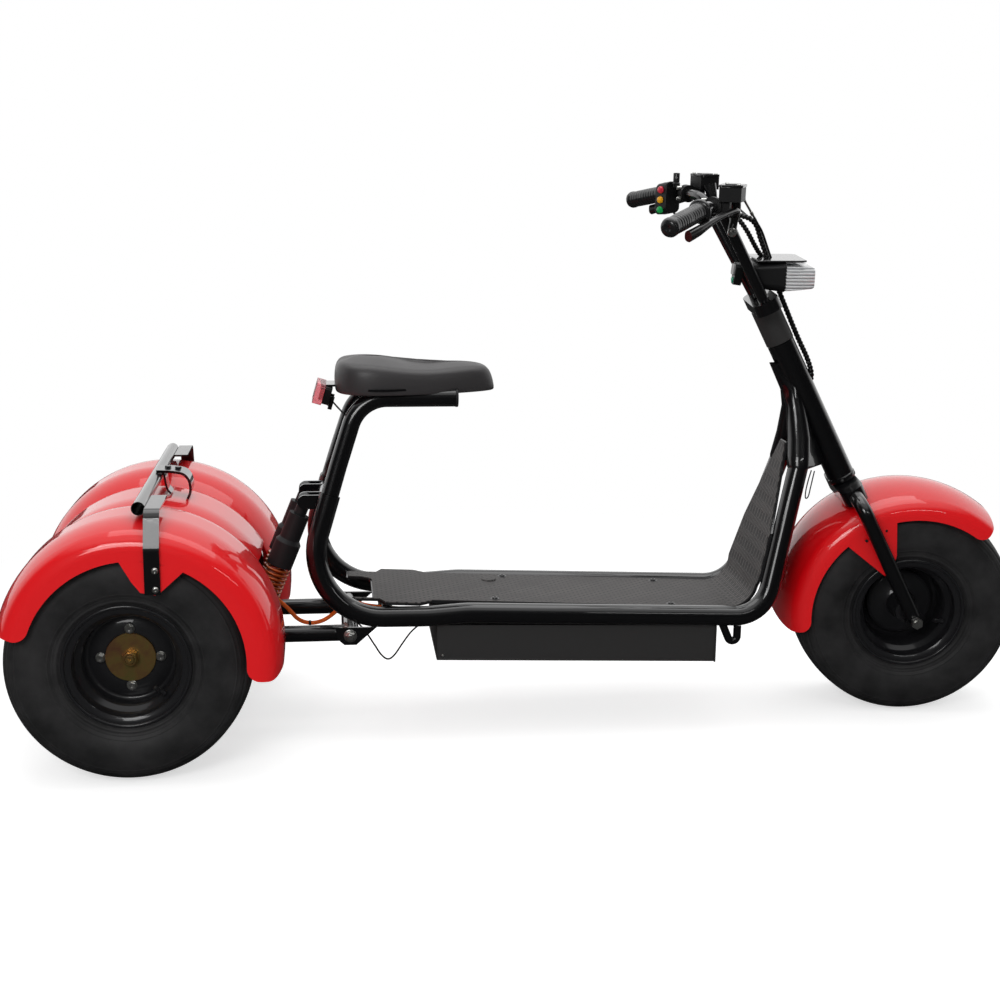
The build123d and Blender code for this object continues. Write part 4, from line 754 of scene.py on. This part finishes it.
def bar_point(off, side, along):
    """A point of the steered part, bar straight: mm forward of the axis, to the left, and up along it."""
    return FRONT_AXLE + (np.cos(RAKE) * off - np.sin(RAKE) * along, side,
                         np.sin(RAKE) * off + np.cos(RAKE) * along) * np.array((0.001, 0.001, 0.001))


# The headlight's lens is a ribbed block of clear plastic under a flat peak.
lens_rows = []
for ahead, width, height in ((1287, 128, 52), (1291, 128, 52), (1318, 124, 48), (1340, 120, 43),
                             (1344.5, 117, 40), (1345.5, 108, 31)):
    lens_rows.append(rounded(from_axle(ahead, 0, 920), (0, 1, 0), (0, 0, 1), width, height, 11))
lens = skin("headlight_lens_ribbed", np.array(lens_rows), clear_lens, "steering",
            closed=(False, True), smooth=30)
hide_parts("headlight_lens")
peak = [from_axle(*p) for p in ((1229, -64, 951), (1318, -64, 952), (1327, -55, 952), (1327, 55, 952),
                                (1318, 64, 952), (1229, 64, 951))]
slab("headlight_peak", peak, (0, 0, 0.0042), gloss_black, "steering", 1.5)
# Left of the lamp's middle a grey switch housing holds the key barrel and a round green button.
grey_plastic = enamel("moulded_grey_abs", "#8d8b8b", 0.4, 0.0, 1.2)
green_plastic = enamel("green_push_button", "#0f8f6a", 0.3, 1.0, 1.2)
slab("switch_housing", rounded(from_axle(1212, 26, 917), (0, 1, 0), (0.1, 0, 1), 34, 44, 7),
     (-0.016, 0, 0.002), black_plastic, "steering", 2.5)
slab("switch_housing_top", rounded(from_axle(1197, 26, 927), (0, 1, 0), (0.1, 0, 1), 28, 22, 5),
     (-0.004, 0, 0.0004), grey_plastic, "steering", 1.2)
button = from_axle(1197, 26, 905)
lathe("green_button", button, button - (0.1, 0, 0.02), [(0, 7.4), (2.6, 7.4), (3.0, 6.4), (5, 5.8),
                                                        (5.4, 4.6)], green_plastic,
      "steering")

# ---------------------------------------------------------------- grips
# Soft black rubber grips pushed over the bar's ends, moulded with a flange, eleven rings and a rounded end.
# The rubber is smooth enough to shine along its ridges.
grip_rubber = enamel("moulded_grip_rubber", "#161617", 0.4, 0.6, 1.5)
inner, outer = bar_point(-45, 235, 972), bar_point(-128, 345, 985)
for label, side in (("right", -1), ("left", 1)):
    mirror = np.array((1, side, 1))
    way = (outer - inner) / np.linalg.norm(outer - inner)
    tip = (outer + way * 0.010) * mirror
    start = (outer + way * (0.010 - 0.124)) * mirror
    profile = [(0, 12), (0, 20.5), (1.5, 22.5), (5.5, 22.8), (8, 21.2), (9, 18.4), (13, 17.4), (15, 17.8),
               (17, 17.2)]
    profile += [(20 + 8 * n + d, 16.3 + 0.6 * (d in (2.5, 5.5)) + 0.5 * np.sin(n / 11 * np.pi))
                for n in range(11) for d in (0, 2.5, 5.5, 7.9)]
    profile += [(109, 16.9), (110.5, 18), (116, 18), (120, 16.6), (122.6, 13.6), (124, 9.5), (124.2, 6),
                (122.6, 4.4), (122.4, 1.5)]
    grip = lathe(f"grip_{label}", start, tip, profile, grip_rubber, "steering",
                 steps=56, smooth=50)
    if side > 0:
        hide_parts("grips")

# ---------------------------------------------------------------- controls
# Each cast brake master has a screwed lid on its reservoir, a lever on a pivot bolt below and a hose.  The
# left side also carries a moulded switch block with three coloured buttons and the missing mirror's socket.


def limb(name, line, wide, deep, material, body):
    """A cast limb: superellipse sections carried along a line, wide and deep in mm at each of its points."""
    ways = np.gradient(line, axis=0)
    ways /= np.linalg.norm(ways, axis=1)[:, None]
    across = np.cross(ways, (0.35, 0.05, 1))
    across /= np.linalg.norm(across, axis=1)[:, None]
    t = np.linspace(0, 2 * np.pi, 24, endpoint=False)[None, :, None]
    blunt = [np.sign(f(t)) * np.abs(f(t)) ** 0.75 for f in (np.cos, np.sin)]
    wide = np.interp(np.linspace(0, 1, len(line)), np.linspace(0, 1, len(wide)), wide)[:, None, None] / 2000
    deep = np.interp(np.linspace(0, 1, len(line)), np.linspace(0, 1, len(deep)), deep)[:, None, None] / 2000
    third = np.cross(ways, across)
    grid = line[:, None] + blunt[0] * wide * across[:, None] + blunt[1] * deep * third[:, None]
    return skin(name, grid, material, body, closed=(False, True), smooth=60)


bend, knee = bar_point(-45, 235, 972), bar_point(-10, 116, 950)
inward = (bend - knee) / np.linalg.norm(bend - knee)
# Die cast alloy under black paint, a little rounder and duller than the frame's coat.
cast_black = enamel("cast_alloy_black_paint", "#101011", 0.32, 0.6, 2.5)
for label, side in (("right", -1), ("left", 1)):
    mirror = np.array((1, side, 1))
    bar_way = inward * mirror
    seat_at = (bend - inward * 0.055) * mirror
    flat_way = np.array((bar_way[0], bar_way[1], 0))
    top = seat_at + (0.036, 0, 0.0363)
    square = np.cross((0, 0, 1), flat_way)
    slab(f"reservoir_lid_{label}", rounded(top, flat_way, square, 54, 46, 6), (0, 0, 0.0048),
         cast_black, "steering", 1.4)
    slab(f"reservoir_plate_{label}", rounded(top + (0, 0, 0.0049), flat_way, square, 30, 26, 5),
         (0, 0, 0.0014), cast_black, "steering", 0.6)
    for n in (-1, 1):
        spot = top + (0, 0, 0.0048) + n * (0.021 * flat_way / np.linalg.norm(flat_way)
                                            + 0.015 * square / np.linalg.norm(square))
        lathe(f"lid_screw_{label}_{n + 1}", spot, spot + (0, 0, 1),
              [(0, 4), (1.4, 4), (2.2, 2.8), (2.2, 1.6), (1, 1.4)], zinc, "steering", steps=20)
    for n in (-1, 1):
        bolt = seat_at + np.array((-0.0185, 0, n * 0.011))
        lathe(f"clamp_bolt_{label}_{n + 1}", bolt, bolt - (0.1, 0, 0),
              [(-6, 4.4), (3, 4.4), (3.6, 3.6), (3.6, 2.4), (1.4, 2.2)], zinc, "steering", steps=20)
    body_line = through([p * mirror for p in (bar_point(18, 150, 962), bar_point(10, 146, 935),
                                              bar_point(-2, 146, 913), bar_point(-14, 149, 897))], 6)
    limb(f"lever_bracket_{label}", body_line, (30, 24, 18, 16), (26, 22, 16, 14), cast_black,
         "steering")
    pivot_at = bar_point(-14, 149, 898) * mirror
    lathe(f"lever_pivot_{label}", pivot_at - (0, side * -0.006, 0), pivot_at + (0, side, 0), [
        (0, 8.6), (5, 8.6), (6, 7.4), (6, 5), (9, 4.6), (9, 2.4), (7.6, 2)], zinc, "steering",
          steps=28)
    lever_line = through([p * mirror for p in (bar_point(2, 150, 922), bar_point(9, 180, 934),
                                               bar_point(-12, 215, 943), bar_point(-46, 255, 948),
                                               bar_point(-80, 290, 949), bar_point(-104, 312, 951))], 8)
    limb(f"brake_lever_{label}", lever_line, (12, 11, 11, 12, 15, 16), (9, 9, 9, 12, 19, 21),
         cast_black, "steering")

pod_way = (outer - bend) / np.linalg.norm(outer - bend)
pod_mid = from_axle(1078, 220, 1055)
pod_back = np.cross(pod_way, (0, 0, 1))
pod_back *= -1 if pod_back[0] > 0 else 1
slab("switch_block", rounded(pod_mid - pod_way * 0.016, pod_back, (0, 0, 1), 42, 66, 12),
     pod_way * 0.034, black_plastic, "steering", 3.0)
for label, code, height in (("red", "#c2263a", 1073), ("amber", "#e0a010", 1052),
                            ("green", "#0e9a4a", 1031)):
    knob_plastic = enamel(label + "_button_plastic", code, 0.35, 0.6, 1.2)
    root = np.array((pod_mid[0], pod_mid[1], height / 1000)) + pod_back * 0.020
    lathe(f"button_{label}", root, root + pod_back, [(-1, 7.6), (3, 7.6), (4, 6.8), (6.4, 6.2),
                                                     (7.2, 5)], knob_plastic, "steering",
          steps=28)
stub = from_axle(1092, 200, 1080)
lathe("mirror_socket", stub, stub + (0, 0, 1), [(0, 8.4), (8, 8.4), (9, 7), (28, 7), (29, 6.4), (29, 4),
                                                (20, 3.6)], cast_black, "steering",
      steps=32)

# ---------------------------------------------------------------- cables
# Two bundles in black spiral wrap run down in front of the bar's legs, one to the lamp, one into the head
# tube.  A thin hose with a bright end leaves each master.  Orange leads run from the motor to the deck.


def cable(name, points, radius, material, body, wrap=(0.0, 8.0), sides=14, count=12, turned=True):
    """A held cable through points: rings square to its line; wrap is a spiral ridge's height and pitch."""
    line = through(points, count)
    ways = np.gradient(line, axis=0)
    ways /= np.linalg.norm(ways, axis=1)[:, None]
    side = np.cross(ways[0], (0.2, 0.9, 0.4))
    sides_at = []
    for way in ways:
        side = side - way * (side @ way)
        side /= np.linalg.norm(side)
        sides_at.append(side)
    sides_at = np.array(sides_at)
    run = np.concatenate(((0,), np.cumsum(np.linalg.norm(np.diff(line, axis=0), axis=1))))[:, None] * 1000
    t = np.linspace(0, 2 * np.pi, sides, endpoint=False)[None, :]
    r = (radius + wrap[0] * np.abs(np.sin(np.pi * run / wrap[1] + t / 2)))[..., None] / 1000
    grid = line[:, None] + r * (np.cos(t)[..., None] * sides_at[:, None]
                                + np.sin(t)[..., None] * np.cross(ways, sides_at)[:, None])
    return skin(name, grid, material, body, closed=(False, True), smooth=50, turned=turned)


# Spiral wrap and sheaths are extruded PVC, matt beside the paint; the motor's leads are orange silicone.
wrap_black = enamel("black_spiral_wrap", "#0c0c0d", 0.35, 0.3, 1.0)
hose_black = enamel("black_pvc_sheath", "#0d0d0e", 0.4, 0.2, 1.0)
orange = enamel("orange_silicone_sheath", "#e8641c", 0.45, 0.0, 1.0)
harness = cable("main_harness", [parked(bar_point(*p)) for p in (
    (16, 30, 914), (30, 12, 898), (46, 0, 882), (52, 0, 864), (49, 0, 836), (45, 0, 790), (41, 0, 740),
    (38, 0, 680), (36, 0, 620), (36, 0, 572), (32, 0, 540), (22, 0, 520))], 4.0, wrap_black,
                None, (1.8, 8.0), count=22)
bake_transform(harness)
cable("lamp_harness", [bar_point(*p) for p in ((16, 20, 912), (26, 8, 890), (31, 2, 862), (33, 4, 835),
                                               (36, 12, 812), (40, 20, 798))], 3.6, wrap_black,
      "steering", (1.8, 7.0), count=22)
for label, side in (("right", -1), ("left", 1)):
    mirror = np.array((1, side, 1))
    first, last = bar_point(38, 104, 936) * mirror, bar_point(44, 80, 898) * mirror
    lathe(f"hose_end_{label}", first, last, [(0, 3), (4, 3), (4.4, 2.3), (34, 2.3), (34.4, 3.4), (44, 3.4),
                                             (45, 2.4)], zinc, "steering", steps=20)
    cable(f"brake_hose_{label}", [last, bar_point(48, 58, 886) * mirror,
                                  bar_point(52, 30, 872) * mirror, bar_point(56, 9, 846) * mirror,
                                  bar_point(52, 7, 800) * mirror, bar_point(47, 7, 740) * mirror],
          2.2, hose_black, "steering")
cable("switch_lead", [from_axle(1090, 214, 1026), from_axle(1104, 190, 1016),
                      bar_point(-16, 140, 925), bar_point(4, 100, 915), bar_point(16, 50, 912),
                      bar_point(20, 24, 908)], 2.4, hose_black, "steering")
cable("throttle_lead", [bar_point(-40, -226, 958), bar_point(-26, -196, 946),
                        bar_point(-10, -150, 928), bar_point(6, -90, 918), bar_point(16, -30, 914),
                        bar_point(22, 4, 906)], 2.2, hose_black, "steering")
cable("phase_leads", [from_axle(*p) for p in ((215, -16, 285), (250, -20, 272), (280, -20, 246),
                                              (303, -20, 220), (327, -20, 211), (352, -20, 215),
                                              (374, -24, 230), (392, -40, 252), (412, -62, 266),
                                              (445, -76, 262), (485, -80, 258), (530, -76, 252))],
      4.2, orange, "chassis")
tie = from_axle(327, -20, 211)
lathe("phase_lead_tie", tie - (0.0025, 0, 0), tie + (1, 0, 0),
      [(0, 4.6), (0.4, 5.2), (4.6, 5.2), (5, 4.6)], black_plastic, "chassis")
cable("deck_lead", [from_axle(*p) for p in ((424, -96, 232), (438, -100, 216), (456, -100, 187),
                                            (470, -100, 165), (483, -100, 156), (496, -100, 164),
                                            (513, -100, 189), (530, -100, 212), (548, -98, 226),
                                            (572, -92, 234))], 1.7, hose_black, "chassis")
cable("tail_lamp_lead", [from_axle(*p) for p in ((366, -6, 679), (377, -18, 671), (388, -40, 662),
                                                 (401, -62, 650), (407, -72, 636))], 1.7,
      hose_black, "chassis")
cable("neck_lead_loop", [from_axle(*p) for p in ((1384, -4, 512), (1381, -5, 498), (1377, -6, 478),
                                                 (1373, -6, 458), (1368, -4, 454), (1369, 0, 468),
                                                 (1374, 3, 490), (1380, 4, 512))], 1.3, hose_black,
      "chassis")
